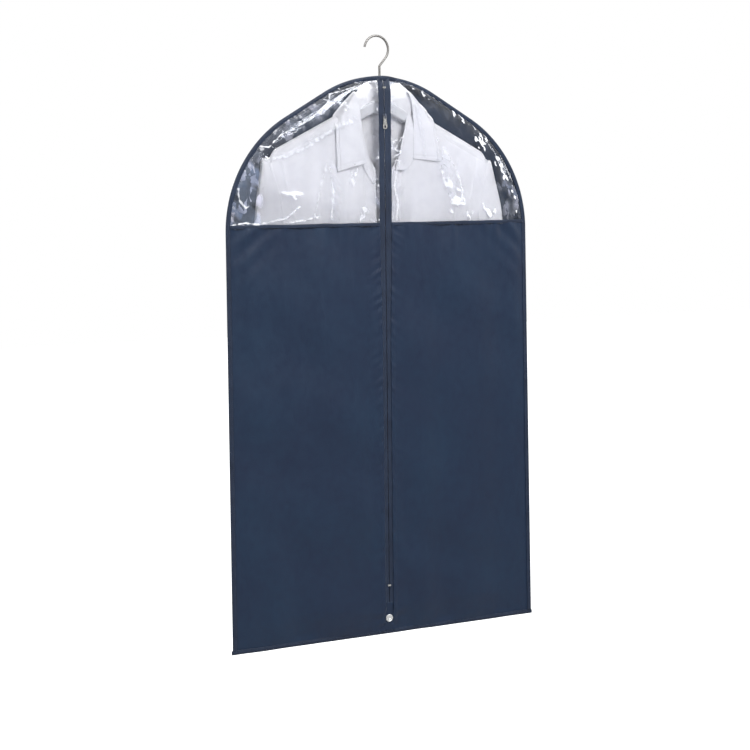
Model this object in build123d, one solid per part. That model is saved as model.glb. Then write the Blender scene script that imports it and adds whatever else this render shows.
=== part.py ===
from build123d import *
import os
from math import atan2, ceil, cos, degrees, pi, radians, sin, sqrt, tan

# Garment bag with an arched top, two clear film windows and a full height front zip. It hangs on a
# shaped hanger whose wire hook leaves through a mouth in the top of the bag. Millimetres, +Z up.
# Everything is modelled about the bag's centre line with the foot of the hem at Z 0 and the front
# facing -Y, then HOME moves it so that the origin is the seat inside the top of the hook, where the
# rail bears.

# The bag's outline: an apex arc, two straight sloping shoulders, two side arcs and upright sides.
BAG_WIDTH = 600.0
BAG_HEIGHT = 1000.0
APEX_RADIUS = 220.0
SHOULDER_RADIUS = 230.0
SHOULDER_SLOPE = radians(30.0)

# Cloth, film and the folded tape that binds them all round.
CLOTH = 0.8
BINDING_WIDTH = 8.0
BINDING_THICK = 4.4
BINDING_WALL = 1.0
LAYER_GAP = 0.05
HEM_HEIGHT = 8.0
HEM_OVERHANG = 4.5
WINDOW_DROP = 259.0
TRIM_HEIGHT = 6.0
TRIM_THICK = 0.6

# How far the filled bag stands out of its seam plane, and where each side turns down to the seam.
FRONT_TOP_DEPTH = 17.0
FRONT_FOOT_DEPTH = 6.0
BACK_TOP_DEPTH = 14.0
BACK_FOOT_DEPTH = 5.0
KNEE_SHARE = 0.9
KNEE_DEPTH_SHARE = 0.72
LEVEL_STEP = 45.0
FOOT_STEP = 9.0

# The mouth at the apex, where the front and back bindings part to let the hook through.
MOUTH_WIDTH = 60.0
MOUTH_DEPTH = 11.0
MOUTH_BAND = 3.0
SEAM_CLEAR = 0.25

# The zip: two tapes side by side with a coil behind each, a stop at each end.
ZIP_FOOT = 60.0
TAPE_WIDTH = 11.4
TAPE_THICK = 0.6
SEAM_LAP = 5.0
COIL_GAP = 1.1
COIL_WIDTH = 2.4
COIL_DEPTH = 1.6
STOP_LENGTH = 3.0
STOP_WALL = 0.7
TOP_STOP_DROP = 9.0
BOTTOM_STOP_RISE = 29.0
RUN = 0.3

# The slider and its pull.
SLIDER_DROP = 71.0
SLIDER_LENGTH = 10.0
PLATE = 0.9
LIP = 0.8
WEB_LENGTH = 6.0
BRIDGE_WIDTH = 1.6
BRIDGE_LENGTH = 7.2
BRIDGE_WALL = 1.0
PULL_WIRE = 0.9
PULL_ARM = 0.9
PULL_REACH = 22.0
PULL_RING_RADIUS = 4.3
PULL_HOLE_RADIUS = 2.0

# The lapped strip below the zip and the rivet through it.
PLACKET_LAP = 1.55
FACING_RISE = 6.0
RIVET_HEIGHT = 30.0
RIVET_RADIUS = 7.0
RIVET_DOME = 2.0
RIVET_POST_RADIUS = 1.6
RIVET_WASHER_RADIUS = 5.0
RIVET_WASHER = 0.9
RIVET_CLEARANCE = 0.1

# The hanger and its swivelling wire hook.
HANGER_SIDE_ROOM = 82.0
HANGER_DROP = 43.0
HANGER_SLOPE = radians(27.35)
HANGER_THICK = 13.0
HANGER_NECK = 15.0
HANGER_DEPTH = 22.0
HANGER_TIP_DEPTH = 14.0
HANGER_ROUND = 3.5
SWIVEL_CLEARANCE = 0.05
WIRE = 4.0
HOOK_RADIUS = 23.0
HOOK_CENTRE_X = -5.5
HOOK_CENTRE_RISE = 47.0
HOOK_RISE = radians(50.0)
HOOK_TIP_ANGLE = 172.0
HOOK_BEND_RADIUS = 5.0
STOP_RIM = 1.8
STOP_HEIGHT = 4.0
STOP_PRESS = 0.02
STEM_TAIL = 1.5
COUNTERBORE_DEPTH = 8.0

# Sizes that follow from the ones above.
APEX_CENTRE_Z = BAG_HEIGHT - APEX_RADIUS
SIDE_CENTRE_X = BAG_WIDTH / 2 - SHOULDER_RADIUS
SLOPE_RUN = SIDE_CENTRE_X + (SHOULDER_RADIUS - APEX_RADIUS) * sin(SHOULDER_SLOPE)
SIDE_CENTRE_Z = (
    APEX_CENTRE_Z
    + (APEX_RADIUS - SHOULDER_RADIUS) * cos(SHOULDER_SLOPE)
    - SLOPE_RUN * tan(SHOULDER_SLOPE)
)
FLANGE_FACE = CLOTH + LAYER_GAP
SLOT_HALF = FLANGE_FACE + LAYER_GAP
PANEL_TOP = BAG_HEIGHT - MOUTH_DEPTH - 2.0
TAPE_EDGE = COIL_GAP / 2 + TAPE_WIDTH
PANEL_INNER = TAPE_EDGE - SEAM_LAP
PLACKET_WIDTH = 2 * (PANEL_INNER + PLACKET_LAP)
PLATE_HALF = COIL_GAP / 2 + COIL_WIDTH + RUN + LIP
PLATE_FACE = TAPE_THICK / 2 + RUN + PLATE
PULL_AXIS = PLATE_FACE + RUN + PULL_WIRE / 2
BRIDGE_RISE = 2 * RUN + PULL_WIRE + BRIDGE_WALL
ARM_INNER = BRIDGE_WIDTH / 2 + RUN
WINDOW_SEAM = BAG_HEIGHT - WINDOW_DROP
SLIDER_HEIGHT = BAG_HEIGHT - SLIDER_DROP
HANGER_REACH = BAG_WIDTH / 2 - HANGER_SIDE_ROOM
HANGER_TOP = BAG_HEIGHT - HANGER_DROP
HANGER_TIP = HANGER_TOP - (HANGER_REACH - HANGER_NECK) * tan(HANGER_SLOPE)
HOOK_CENTRE_Z = BAG_HEIGHT + HOOK_CENTRE_RISE
STOP_RADIUS = WIRE / 2 + STOP_RIM
HOOK_SEAT_Z = HOOK_CENTRE_Z + HOOK_RADIUS - WIRE / 2
HANGER_FLOOR = HANGER_TOP - HANGER_DEPTH
HOME = Pos(-HOOK_CENTRE_X, 0, -HOOK_SEAT_Z)


def zip_depth(z):
    """How far in front of the seam plane the zip's mid plane is at height z: a straight line."""
    share = (z - ZIP_FOOT) / (PANEL_TOP - ZIP_FOOT)
    return FRONT_FOOT_DEPTH + share * (FRONT_TOP_DEPTH - FRONT_FOOT_DEPTH)


def back_depth(z):
    """How far behind the seam plane the back panel's outer face is at height z: a straight line."""
    share = (z - ZIP_FOOT) / (PANEL_TOP - ZIP_FOOT)
    return BACK_FOOT_DEPTH + share * (BACK_TOP_DEPTH - BACK_FOOT_DEPTH)


ZIP_PLANE = Plane(
    origin=(0, -FRONT_FOOT_DEPTH, ZIP_FOOT),
    x_dir=(1, 0, 0),
    z_dir=(0, FRONT_FOOT_DEPTH - FRONT_TOP_DEPTH, PANEL_TOP - ZIP_FOOT),
)
ZIP_LENGTH = sqrt((FRONT_TOP_DEPTH - FRONT_FOOT_DEPTH) ** 2 + (PANEL_TOP - ZIP_FOOT) ** 2)
ZIP_PER_HEIGHT = ZIP_LENGTH / (PANEL_TOP - ZIP_FOOT)
SLIDER_PLACE = (SLIDER_HEIGHT - ZIP_FOOT) * ZIP_PER_HEIGHT
TOP_STOP_PLACE = ZIP_LENGTH - TOP_STOP_DROP


def half_width(z, inset):
    """Half of the width at height z of the outline drawn inset from its edge."""
    apex_radius = APEX_RADIUS - inset
    side_radius = SHOULDER_RADIUS - inset
    apex_end = APEX_CENTRE_Z + apex_radius * cos(SHOULDER_SLOPE)
    side_start = SIDE_CENTRE_Z + side_radius * cos(SHOULDER_SLOPE)
    if z >= apex_end:
        return sqrt(max(apex_radius**2 - (z - APEX_CENTRE_Z) ** 2, 0.0))
    if z >= side_start:
        return apex_radius * sin(SHOULDER_SLOPE) + (apex_end - z) / tan(SHOULDER_SLOPE)
    if z >= SIDE_CENTRE_Z:
        return SIDE_CENTRE_X + sqrt(side_radius**2 - (z - SIDE_CENTRE_Z) ** 2)
    return BAG_WIDTH / 2 - inset


def outline(inset, bottom):
    """The front view's face, drawn inset from its edge and down to the height bottom, on XZ."""
    side = BAG_WIDTH / 2 - inset
    apex_radius = APEX_RADIUS - inset
    side_radius = SHOULDER_RADIUS - inset
    apex_end = (apex_radius * sin(SHOULDER_SLOPE), APEX_CENTRE_Z + apex_radius * cos(SHOULDER_SLOPE))
    towards_apex = (-cos(SHOULDER_SLOPE), sin(SHOULDER_SLOPE))
    middle = (SHOULDER_SLOPE + pi / 2) / 2
    bulge, start = [
        (SIDE_CENTRE_X + side_radius * sin(turn), SIDE_CENTRE_Z + side_radius * cos(turn))
        for turn in (middle, SHOULDER_SLOPE)
    ]
    half = [
        Line((0, bottom), (side, bottom)),
        Line((side, bottom), (side, SIDE_CENTRE_Z)),
        ThreePointArc((side, SIDE_CENTRE_Z), bulge, start),
        Line(start, apex_end),
        JernArc(apex_end, towards_apex, apex_radius, degrees(SHOULDER_SLOPE)),
    ]
    right = make_face(half + [Line((0, APEX_CENTRE_Z + apex_radius), (0, bottom))])
    return Plane.XZ * (right + mirror(right, about=Plane.YZ))


def side_strip(side):
    """A tall rectangle on XZ that covers one side of the bag outside the mouth."""
    wide = BAG_WIDTH
    tall = 2 * BAG_HEIGHT
    centre = side * (MOUTH_WIDTH / 2 + LAYER_GAP + wide / 2)
    return Plane.XZ * Pos(centre, BAG_HEIGHT / 2) * Rectangle(wide, tall)


def slab(face, thick):
    """A face on XZ given a thickness, half on each side of the seam plane."""
    return extrude(face, thick / 2, both=True)


def edge_binding(side):
    """Folded tape round one side, from the hem up over the arch to the mouth."""
    foot = HEM_HEIGHT + LAYER_GAP
    band = outline(0, foot) - outline(BINDING_WIDTH, foot - 1)
    fold = outline(BINDING_WALL - LAYER_GAP, foot - 1) - outline(BINDING_WIDTH + 1, foot - 2)
    body = slab(band & side_strip(side), BINDING_THICK)
    return body - slab(fold, 2 * SLOT_HALF)


def hem_binding():
    """Folded tape along the foot, a little longer than the bag is wide."""
    length = BAG_WIDTH + 2 * HEM_OVERHANG
    tape = Pos(0, 0, HEM_HEIGHT / 2) * Box(length, BINDING_THICK, HEM_HEIGHT)
    tape = fillet(tape.edges().filter_by(Axis.X).group_by(Axis.Z)[0], BINDING_THICK / 4)
    slot_floor = BINDING_WALL - LAYER_GAP
    slot = Pos(0, 0, slot_floor + HEM_HEIGHT / 2) * Box(length, 2 * SLOT_HALF, HEM_HEIGHT)
    return tape - slot


def mouth_binding(depth, facing):
    """One lip of the mouth: folded tape that bows out to depth; facing is -1 in front and 1 behind."""
    half = MOUTH_WIDTH / 2
    wall = MOUTH_BAND / 2
    step = 1.3 * MOUTH_BAND
    rims = []
    for foot, lip in ((half, wall), (half - step, -wall)):
        crown = depth + lip
        rim = [(-foot, SEAM_CLEAR), (-TAPE_EDGE - lip, crown), (TAPE_EDGE + lip, crown), (foot, SEAM_CLEAR)]
        rims.append(make_face(Polyline(*rim, close=True)))
    plan = rims[0] - rims[1]
    if facing < 0:
        plan = mirror(plan, about=Plane.XZ)
    band = slab(outline(0, 0) - outline(MOUTH_DEPTH, -1), 4 * depth)
    return extrude(plan, 2 * BAG_HEIGHT) & band


def seam_share(z):
    """0 up to the top of the hem, where front and back lie flat together, and 1 from the zip's foot."""
    return min(max((z - HEM_HEIGHT) / (ZIP_FOOT - HEM_HEIGHT), 0.0), 1.0)


def swell(z, depth):
    """Depths of the centre line and the knee at height z, for a centre line that stands out by depth."""
    centre = FLANGE_FACE + seam_share(z) * (depth - FLANGE_FACE)
    return centre, max(FLANGE_FACE, KNEE_DEPTH_SHARE * centre)


def levels(low, high):
    """Heights of the sections between low and high, closer together where the outline curves."""
    side_radius = SHOULDER_RADIUS - BINDING_WIDTH
    apex_radius = APEX_RADIUS - BINDING_WIDTH
    turns = [radians(turn) for turn in (90, 75, 60, 45)] + [SHOULDER_SLOPE]
    bends = [SIDE_CENTRE_Z + side_radius * cos(turn) for turn in turns]
    bends += [APEX_CENTRE_Z + apex_radius * cos(SHOULDER_SLOPE * share) for share in (1.0, 0.75, 0.55)]
    spacing = 4.0
    marks = [low] + [z for z in bends if low + spacing < z < high - spacing] + [high]
    heights = [low]
    for start, end in zip(marks, marks[1:]):
        steps = ceil((end - start) / LEVEL_STEP)
        heights += [start + (end - start) * step / steps for step in range(1, steps + 1)]
    return heights


def hem_levels():
    """Heights of the sections from inside the hem's fold up to just below the zip's foot."""
    steps = ceil((ZIP_FOOT - HEM_HEIGHT) / FOOT_STEP)
    rises = [HEM_HEIGHT + (ZIP_FOOT - HEM_HEIGHT) * step / steps for step in range(steps)]
    return [BINDING_WALL] + rises


def section(points, z):
    """A closed thin section through (x, y) points at height z."""
    return Plane.XY.offset(z) * make_face(Polyline(*points, close=True))


def front_section(side, z):
    """One half of the front at height z: flat under the zip tape, out to the knee, down to the seam."""
    inner_edge = half_width(z, BINDING_WIDTH)
    outer_edge = half_width(z, BINDING_WALL)
    knee = TAPE_EDGE + KNEE_SHARE * (inner_edge - TAPE_EDGE)
    centre, fall = swell(z, zip_depth(max(z, ZIP_FOOT)) - TAPE_THICK / 2 - LAYER_GAP)
    outside = [
        (PANEL_INNER, centre),
        (TAPE_EDGE, centre),
        (knee, fall),
        (inner_edge, FLANGE_FACE),
        (outer_edge, FLANGE_FACE),
    ]
    points = outside + [(x, depth - CLOTH) for x, depth in reversed(outside)]
    return section([(side * x, -depth) for x, depth in points], z)


def back_section(z):
    """The whole back at height z: highest on the centre line, out to the knees, down to the seam."""
    inner_edge = half_width(z, BINDING_WIDTH)
    outer_edge = half_width(z, BINDING_WALL)
    knee = KNEE_SHARE * inner_edge
    centre, fall = swell(z, back_depth(max(z, ZIP_FOOT)))
    right = [(knee, fall), (inner_edge, FLANGE_FACE), (outer_edge, FLANGE_FACE)]
    left = [(-x, depth) for x, depth in reversed(right)]
    outside = left + [(0, centre)] + right
    return section(outside + [(x, depth - CLOTH) for x, depth in reversed(outside)], z)


def front_panel(side):
    """The lower cloth of one front leaf, from the fold of the hem to the window."""
    heights = hem_levels() + levels(ZIP_FOOT, WINDOW_SEAM - LAYER_GAP)
    return loft([front_section(side, z) for z in heights], ruled=True)


def window(side):
    """The clear film of one front leaf, from the window seam up into the arch."""
    heights = levels(WINDOW_SEAM + LAYER_GAP, PANEL_TOP)
    return loft([front_section(side, z) for z in heights], ruled=True)


def back_panel():
    """The back in one piece, from the fold of the hem to the mouth."""
    heights = hem_levels() + levels(ZIP_FOOT, PANEL_TOP)
    return loft([back_section(z) for z in heights], ruled=True)


def window_trim(side):
    """Narrow folded strip sewn over the window seam, from the zip tape to the edge binding."""
    edge = half_width(WINDOW_SEAM + TRIM_HEIGHT / 2, BINDING_WIDTH)
    centre = zip_depth(WINDOW_SEAM) - TAPE_THICK / 2 + LAYER_GAP
    knee = TAPE_EDGE + KNEE_SHARE * (edge - TAPE_EDGE)
    shade = 3 * LAYER_GAP
    inner = [
        (TAPE_EDGE + RUN, centre),
        (knee, KNEE_DEPTH_SHARE * centre + shade),
        (edge - RUN, FLANGE_FACE + shade + RUN),
    ]
    points = inner + [(x, depth + TRIM_THICK) for x, depth in reversed(inner)]
    foot = section([(side * x, -depth) for x, depth in points], WINDOW_SEAM - TRIM_HEIGHT / 2)
    return extrude(foot, TRIM_HEIGHT, dir=(0, 0, 1))


def block(x_low, x_high, y_low, y_high, z_low, z_high):
    """A box between two corners."""
    size = Box(x_high - x_low, y_high - y_low, z_high - z_low)
    return Pos((x_low + x_high) / 2, (y_low + y_high) / 2, (z_low + z_high) / 2) * size


def zip_tape(side):
    """One woven tape of the zip."""
    tape = block(COIL_GAP / 2, TAPE_EDGE, -TAPE_THICK / 2, TAPE_THICK / 2, 0, ZIP_LENGTH)
    return ZIP_PLANE * (tape if side > 0 else mirror(tape, about=Plane.YZ))


def zip_coil(side):
    """One coil of teeth on the back of its tape, between the stops."""
    low = BOTTOM_STOP_RISE + STOP_LENGTH + LAYER_GAP
    high = TOP_STOP_PLACE - LAYER_GAP
    front = TAPE_THICK / 2 + LAYER_GAP
    coil = block(COIL_GAP / 2, COIL_GAP / 2 + COIL_WIDTH, front, front + COIL_DEPTH - LAYER_GAP, low, high)
    coil = fillet(coil.edges().filter_by(Axis.Z).group_by(Axis.Y)[-1], COIL_WIDTH / 3)
    return ZIP_PLANE * (coil if side > 0 else mirror(coil, about=Plane.YZ))


def stop_clip(inner):
    """Metal clip bent round the right tape's edge, from inner outwards, open on its outer side."""
    edge = COIL_GAP / 2 + COIL_WIDTH
    depth = TAPE_THICK / 2 + LAYER_GAP
    body = block(inner, edge, -depth - STOP_WALL, depth + COIL_DEPTH, 0, STOP_LENGTH)
    return body - block(COIL_GAP / 2 - LAYER_GAP, edge + 1, -depth, depth, -1, STOP_LENGTH + 1)


def zip_top_stops():
    """The two clips at the top of the zip, one on each tape."""
    clip = Pos(0, 0, TOP_STOP_PLACE) * stop_clip(COIL_GAP / 2 - 0.4)
    return ZIP_PLANE * Compound(children=[clip, mirror(clip, about=Plane.YZ)])


def zip_bottom_stop():
    """The clip at the foot of the zip, bent round both tapes at once."""
    clip = Pos(0, 0, BOTTOM_STOP_RISE) * stop_clip(0)
    return ZIP_PLANE * (clip + mirror(clip, about=Plane.YZ))


def zip_slider():
    """Slider: two plates joined by a web between the coils, lips round the coils, a bridge in front."""
    half = SLIDER_LENGTH / 2
    back = TAPE_THICK / 2 + COIL_DEPTH + RUN
    front = PLATE_FACE - PLATE
    body = block(-PLATE_HALF, PLATE_HALF, -PLATE_FACE, -front, -half, half)
    rear = block(-PLATE_HALF, PLATE_HALF, back, back + PLATE, -half, half)
    body = fillet(body.edges().filter_by(Axis.Y), PLATE_HALF / 2)
    rear = fillet(rear.edges().filter_by(Axis.Y), PLATE_HALF / 2)
    web_x = COIL_GAP / 2 - RUN
    web_z = WEB_LENGTH / 2
    body += rear + block(-web_x, web_x, -front - PLATE / 2, back + PLATE / 2, -web_z, web_z)
    lip_low = TAPE_THICK / 2 + RUN
    lip_half = half - PLATE_HALF / 2
    for side in (-1, 1):
        near, far = sorted((side * (PLATE_HALF - LIP), side * PLATE_HALF))
        body += block(near, far, lip_low, back + PLATE / 2, -lip_half, lip_half)
    bridge = block(
        -BRIDGE_WIDTH / 2,
        BRIDGE_WIDTH / 2,
        -PLATE_FACE - BRIDGE_RISE,
        -PLATE_FACE + PLATE / 2,
        -BRIDGE_LENGTH / 2,
        BRIDGE_LENGTH / 2,
    )
    bridge = fillet(bridge.edges().filter_by(Axis.X).group_by(Axis.Y)[0], BRIDGE_RISE / 2)
    hole_half = BRIDGE_LENGTH / 2 - BRIDGE_WALL
    hole_top = PLATE_FACE + BRIDGE_RISE - BRIDGE_WALL
    bridge -= block(-BRIDGE_WIDTH, BRIDGE_WIDTH, -hole_top, -PLATE_FACE, -hole_half, hole_half)
    return ZIP_PLANE * Pos(0, 0, SLIDER_PLACE) * (body + bridge)


def pull_axis():
    """The point about which the pull swings, under the slider's bridge."""
    return ZIP_PLANE.from_local_coords(Vector(0, -PULL_AXIS, SLIDER_PLACE))


def zip_pull():
    """Teardrop pull: a cross wire under the bridge, two arms round it and a flat drop with a hole."""
    arm_outer = ARM_INNER + PULL_ARM
    ring = Pos(0, -PULL_REACH + PULL_RING_RADIUS) * Circle(PULL_RING_RADIUS)
    head = Pos(0, -PULL_WIRE / 2) * Rectangle(2 * arm_outer, 2 * PULL_WIRE)
    drop = make_hull(ring.edges() + head.edges())
    swing = sqrt((BRIDGE_LENGTH / 2) ** 2 + (BRIDGE_RISE - RUN - PULL_WIRE / 2) ** 2) + RUN
    gap = Pos(0, -swing / 2 + PULL_WIRE) * Rectangle(2 * ARM_INNER, swing + 2 * PULL_WIRE)
    drop -= gap + Pos(0, -PULL_REACH + PULL_RING_RADIUS) * Circle(PULL_HOLE_RADIUS)
    drop -= Pos(0, 5 * PULL_WIRE) * Rectangle(4 * arm_outer, 10 * PULL_WIRE)
    plate = extrude(Plane.XZ * drop, PULL_WIRE / 2, both=True)
    wire = Rot(0, 90, 0) * Cylinder(PULL_WIRE / 2, 2 * arm_outer)
    return Pos(*pull_axis()) * (plate + wire)


def placket_line(rise):
    """Depth of the placket strip's mid plane at a height above the hem binding."""
    low = FLANGE_FACE + LAYER_GAP + TAPE_THICK / 2
    return low + (FRONT_FOOT_DEPTH - low) * rise / (ZIP_FOOT - HEM_HEIGHT)


def leaning_strip(low, high, lift):
    """Strip of the placket between two heights, its mid plane lift in front of the placket line."""
    corners = []
    for z, face in ((low, 1), (high, 1), (high, -1), (low, -1)):
        corners.append((-placket_line(z - HEM_HEIGHT) - lift - face * TAPE_THICK / 2, z))
    face = Plane.YZ * make_face(Polyline(*corners, close=True))
    return extrude(face, PLACKET_WIDTH / 2, both=True)


PLACKET_LEAN = degrees(atan2(placket_line(ZIP_FOOT) - placket_line(0), ZIP_FOOT))
RIVET_PLACE = Pos(0, -placket_line(RIVET_HEIGHT - HEM_HEIGHT), RIVET_HEIGHT) * Rot(PLACKET_LEAN, 0, 0)
FACING_LIFT = -(TAPE_THICK + CLOTH + 2 * LAYER_GAP)


def rivet_hole():
    """Clearance hole for the rivet's post through every layer of the placket."""
    return RIVET_PLACE * Rot(90, 0, 0) * Cylinder(RIVET_POST_RADIUS + RIVET_CLEARANCE, 6 * RIVET_DOME)


def placket_strip():
    """The outer strip below the zip, from the hem binding to the ends of the tapes."""
    return leaning_strip(HEM_HEIGHT + RUN, ZIP_FOOT - RUN, 0) - rivet_hole()


def placket_facing():
    """The inner strip behind the placket, which the rivet's washer bears on."""
    return leaning_strip(HEM_HEIGHT + FACING_RISE, ZIP_FOOT - FACING_RISE, FACING_LIFT) - rivet_hole()


def rivet_cap():
    """Domed cap with a raised rim and a dimple, and a blind hole behind for the post."""
    face = TAPE_THICK / 2 + LAYER_GAP
    profile = Polyline(
        (0, face),
        (RIVET_RADIUS, face),
        (RIVET_RADIUS, face + RIVET_DOME / 2),
        (RIVET_RADIUS * 0.8, face + RIVET_DOME),
        (RIVET_RADIUS * 0.6, face + RIVET_DOME),
        (RIVET_RADIUS * 0.5, face + RIVET_DOME * 0.65),
        (0, face + RIVET_DOME * 0.75),
        close=True,
    )
    cap = revolve(Plane.XZ * make_face(profile), Axis.Z)
    cap -= Pos(0, 0, face) * Cylinder(RIVET_POST_RADIUS + STOP_PRESS, RIVET_DOME)
    return RIVET_PLACE * Rot(90, 0, 0) * cap


def rivet_post():
    """Post from inside the cap back to the washer, with its end flush in the washer."""
    front = TAPE_THICK / 2 + LAYER_GAP + RIVET_DOME / 2 - LAYER_GAP
    back = FACING_LIFT - TAPE_THICK / 2 - LAYER_GAP - RIVET_WASHER
    post = Pos(0, 0, (front + back) / 2) * Cylinder(RIVET_POST_RADIUS, front - back)
    return RIVET_PLACE * Rot(90, 0, 0) * post


def rivet_washer():
    """Washer clenched on the post behind the facing."""
    centre = FACING_LIFT - TAPE_THICK / 2 - LAYER_GAP - RIVET_WASHER / 2
    bore = Cylinder(RIVET_POST_RADIUS + STOP_PRESS, 2 * RIVET_WASHER)
    disc = Cylinder(RIVET_WASHER_RADIUS, RIVET_WASHER) - bore
    return RIVET_PLACE * Rot(90, 0, 0) * Pos(0, 0, centre) * disc


def hanger_body():
    """Shaped hanger with a swivel bore through its neck, counterbored from below for the hook's stop."""
    right = [
        (HANGER_NECK, HANGER_TOP),
        (HANGER_REACH, HANGER_TIP),
        (HANGER_REACH - HANGER_TIP_DEPTH / 2, HANGER_TIP - HANGER_TIP_DEPTH),
        (HANGER_NECK, HANGER_FLOOR),
    ]
    left = [(-x, z) for x, z in reversed(right)]
    profile = make_face(Polyline(*right, *left, close=True))
    corners = profile.vertices().filter_by_position(Axis.X, HANGER_NECK + 1, HANGER_REACH)
    corners += profile.vertices().filter_by_position(Axis.X, -HANGER_REACH, -HANGER_NECK - 1)
    profile = fillet(corners, HANGER_TIP_DEPTH / 3)
    body = extrude(Plane.XZ * profile, HANGER_THICK / 2, both=True)
    rims = body.faces().sort_by(Axis.Y)[0].edges() + body.faces().sort_by(Axis.Y)[-1].edges()
    body = fillet(rims, HANGER_ROUND)
    body -= Pos(0, 0, HANGER_TOP) * Cylinder(WIRE / 2 + SWIVEL_CLEARANCE, 4 * HANGER_DEPTH)
    room = STOP_RADIUS + RUN
    return body - Pos(0, 0, HANGER_FLOOR) * Cylinder(room, 2 * COUNTERBORE_DEPTH)


def stem_foot():
    """Height of the stem's lower end, just below the stop under the hanger's swivel bore."""
    return HANGER_FLOOR + COUNTERBORE_DEPTH - RUN - STOP_HEIGHT - STEM_TAIL


def hook_wire():
    """Round wire: an upright stem, a bend, a straight rise tangent to the hook's arc, and the arc."""
    start_turn = HOOK_RISE - pi / 2
    reach = (HOOK_RADIUS * cos(start_turn) + HOOK_CENTRE_X) / cos(HOOK_RISE)
    start = (HOOK_CENTRE_X + HOOK_RADIUS * cos(start_turn), HOOK_CENTRE_Z + HOOK_RADIUS * sin(start_turn))
    bend = (0, start[1] - reach * sin(HOOK_RISE))
    stem = FilletPolyline((0, stem_foot()), bend, start, radius=HOOK_BEND_RADIUS)
    sweep_turn = HOOK_TIP_ANGLE - degrees(start_turn)
    arc = CenterArc((HOOK_CENTRE_X, HOOK_CENTRE_Z), HOOK_RADIUS, degrees(start_turn), sweep_turn)
    path = Plane.XZ * (stem + arc)
    return sweep(Plane.XY.offset(stem_foot()) * Circle(WIRE / 2), path=path)


def hook_stop():
    """Ring pressed on the stem's end, which carries the hanger."""
    ring = Cylinder(STOP_RADIUS, STOP_HEIGHT) - Cylinder(WIRE / 2 - STOP_PRESS, 2 * STOP_HEIGHT)
    return Pos(0, 0, stem_foot() + STEM_TAIL + STOP_HEIGHT / 2) * ring


def build():
    """Every node by name, about the bag's centre line."""
    nodes = {
        "hook_wire": hook_wire(),
        "hook_stop": hook_stop(),
        "hanger_body": hanger_body(),
        "back_panel": back_panel(),
        "mouth_binding_front": mouth_binding(zip_depth(PANEL_TOP), -1),
        "mouth_binding_back": mouth_binding(back_depth(PANEL_TOP), 1),
        "hem_binding": hem_binding(),
        "zip_top_stops": zip_top_stops(),
        "zip_bottom_stop": zip_bottom_stop(),
        "placket_strip": placket_strip(),
        "placket_facing": placket_facing(),
        "rivet_cap": rivet_cap(),
        "rivet_post": rivet_post(),
        "rivet_washer": rivet_washer(),
        "zip_slider": zip_slider(),
        "zip_pull": zip_pull(),
    }
    paired = {
        "front_panel": front_panel,
        "window": window,
        "edge_binding": edge_binding,
        "window_trim": window_trim,
        "zip_tape": zip_tape,
        "zip_coil": zip_coil,
    }
    for name, make in paired.items():
        nodes[name + "_left"] = make(-1)
        nodes[name + "_right"] = make(1)
    return nodes


os.makedirs("parts", exist_ok=True)
for name, shape in build().items():
    export_step(HOME * shape, f"parts/{name}.step")

travel_down = SLIDER_PLACE - SLIDER_LENGTH / 2 - BOTTOM_STOP_RISE - STOP_LENGTH
travel_up = TOP_STOP_PLACE - SLIDER_PLACE - SLIDER_LENGTH / 2
print("slider axis", ZIP_PLANE.z_dir, "travel down", travel_down, "up", travel_up)
print("pull axis", HOME.position + pull_axis(), "swivel axis", HOME.position)
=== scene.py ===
from math import cos, pi, radians, sin, sqrt, tan

import bpy
import numpy as np
from mathutils import Matrix, Vector


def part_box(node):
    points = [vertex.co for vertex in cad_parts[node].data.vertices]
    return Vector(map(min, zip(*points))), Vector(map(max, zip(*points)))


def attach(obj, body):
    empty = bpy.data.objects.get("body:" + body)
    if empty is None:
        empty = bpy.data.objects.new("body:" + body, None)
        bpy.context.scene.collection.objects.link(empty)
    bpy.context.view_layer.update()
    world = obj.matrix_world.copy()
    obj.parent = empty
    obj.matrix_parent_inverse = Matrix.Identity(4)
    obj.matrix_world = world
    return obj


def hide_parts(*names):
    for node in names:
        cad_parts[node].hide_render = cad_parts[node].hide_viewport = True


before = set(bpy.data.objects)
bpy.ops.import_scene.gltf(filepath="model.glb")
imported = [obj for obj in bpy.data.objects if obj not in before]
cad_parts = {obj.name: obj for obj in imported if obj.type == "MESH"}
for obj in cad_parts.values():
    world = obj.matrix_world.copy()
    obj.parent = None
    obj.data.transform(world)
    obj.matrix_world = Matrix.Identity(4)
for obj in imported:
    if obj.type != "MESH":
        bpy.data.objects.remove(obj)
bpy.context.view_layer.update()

# Garment bag with an arched top, clear film windows and a long front zip, on a hanger with a wire hook,
# with a white shirt inside. Sizes are metres. Soft pieces are worked out about the bag's centre line with
# the foot of the hem at height 0, as bag places (x, y, z), and put_down() moves them into the frame.

MM = 0.001
SHOW_SHIRT = True


# ---- Places read from the frame ----

hem_low, hem_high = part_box("hem_binding")
side_low, side_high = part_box("edge_binding_right")
tape_low, tape_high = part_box("zip_tape_right")
trim_low, trim_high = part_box("window_trim_right")
back_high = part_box("back_panel")[1]
rivet_low, rivet_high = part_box("rivet_cap")

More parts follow.
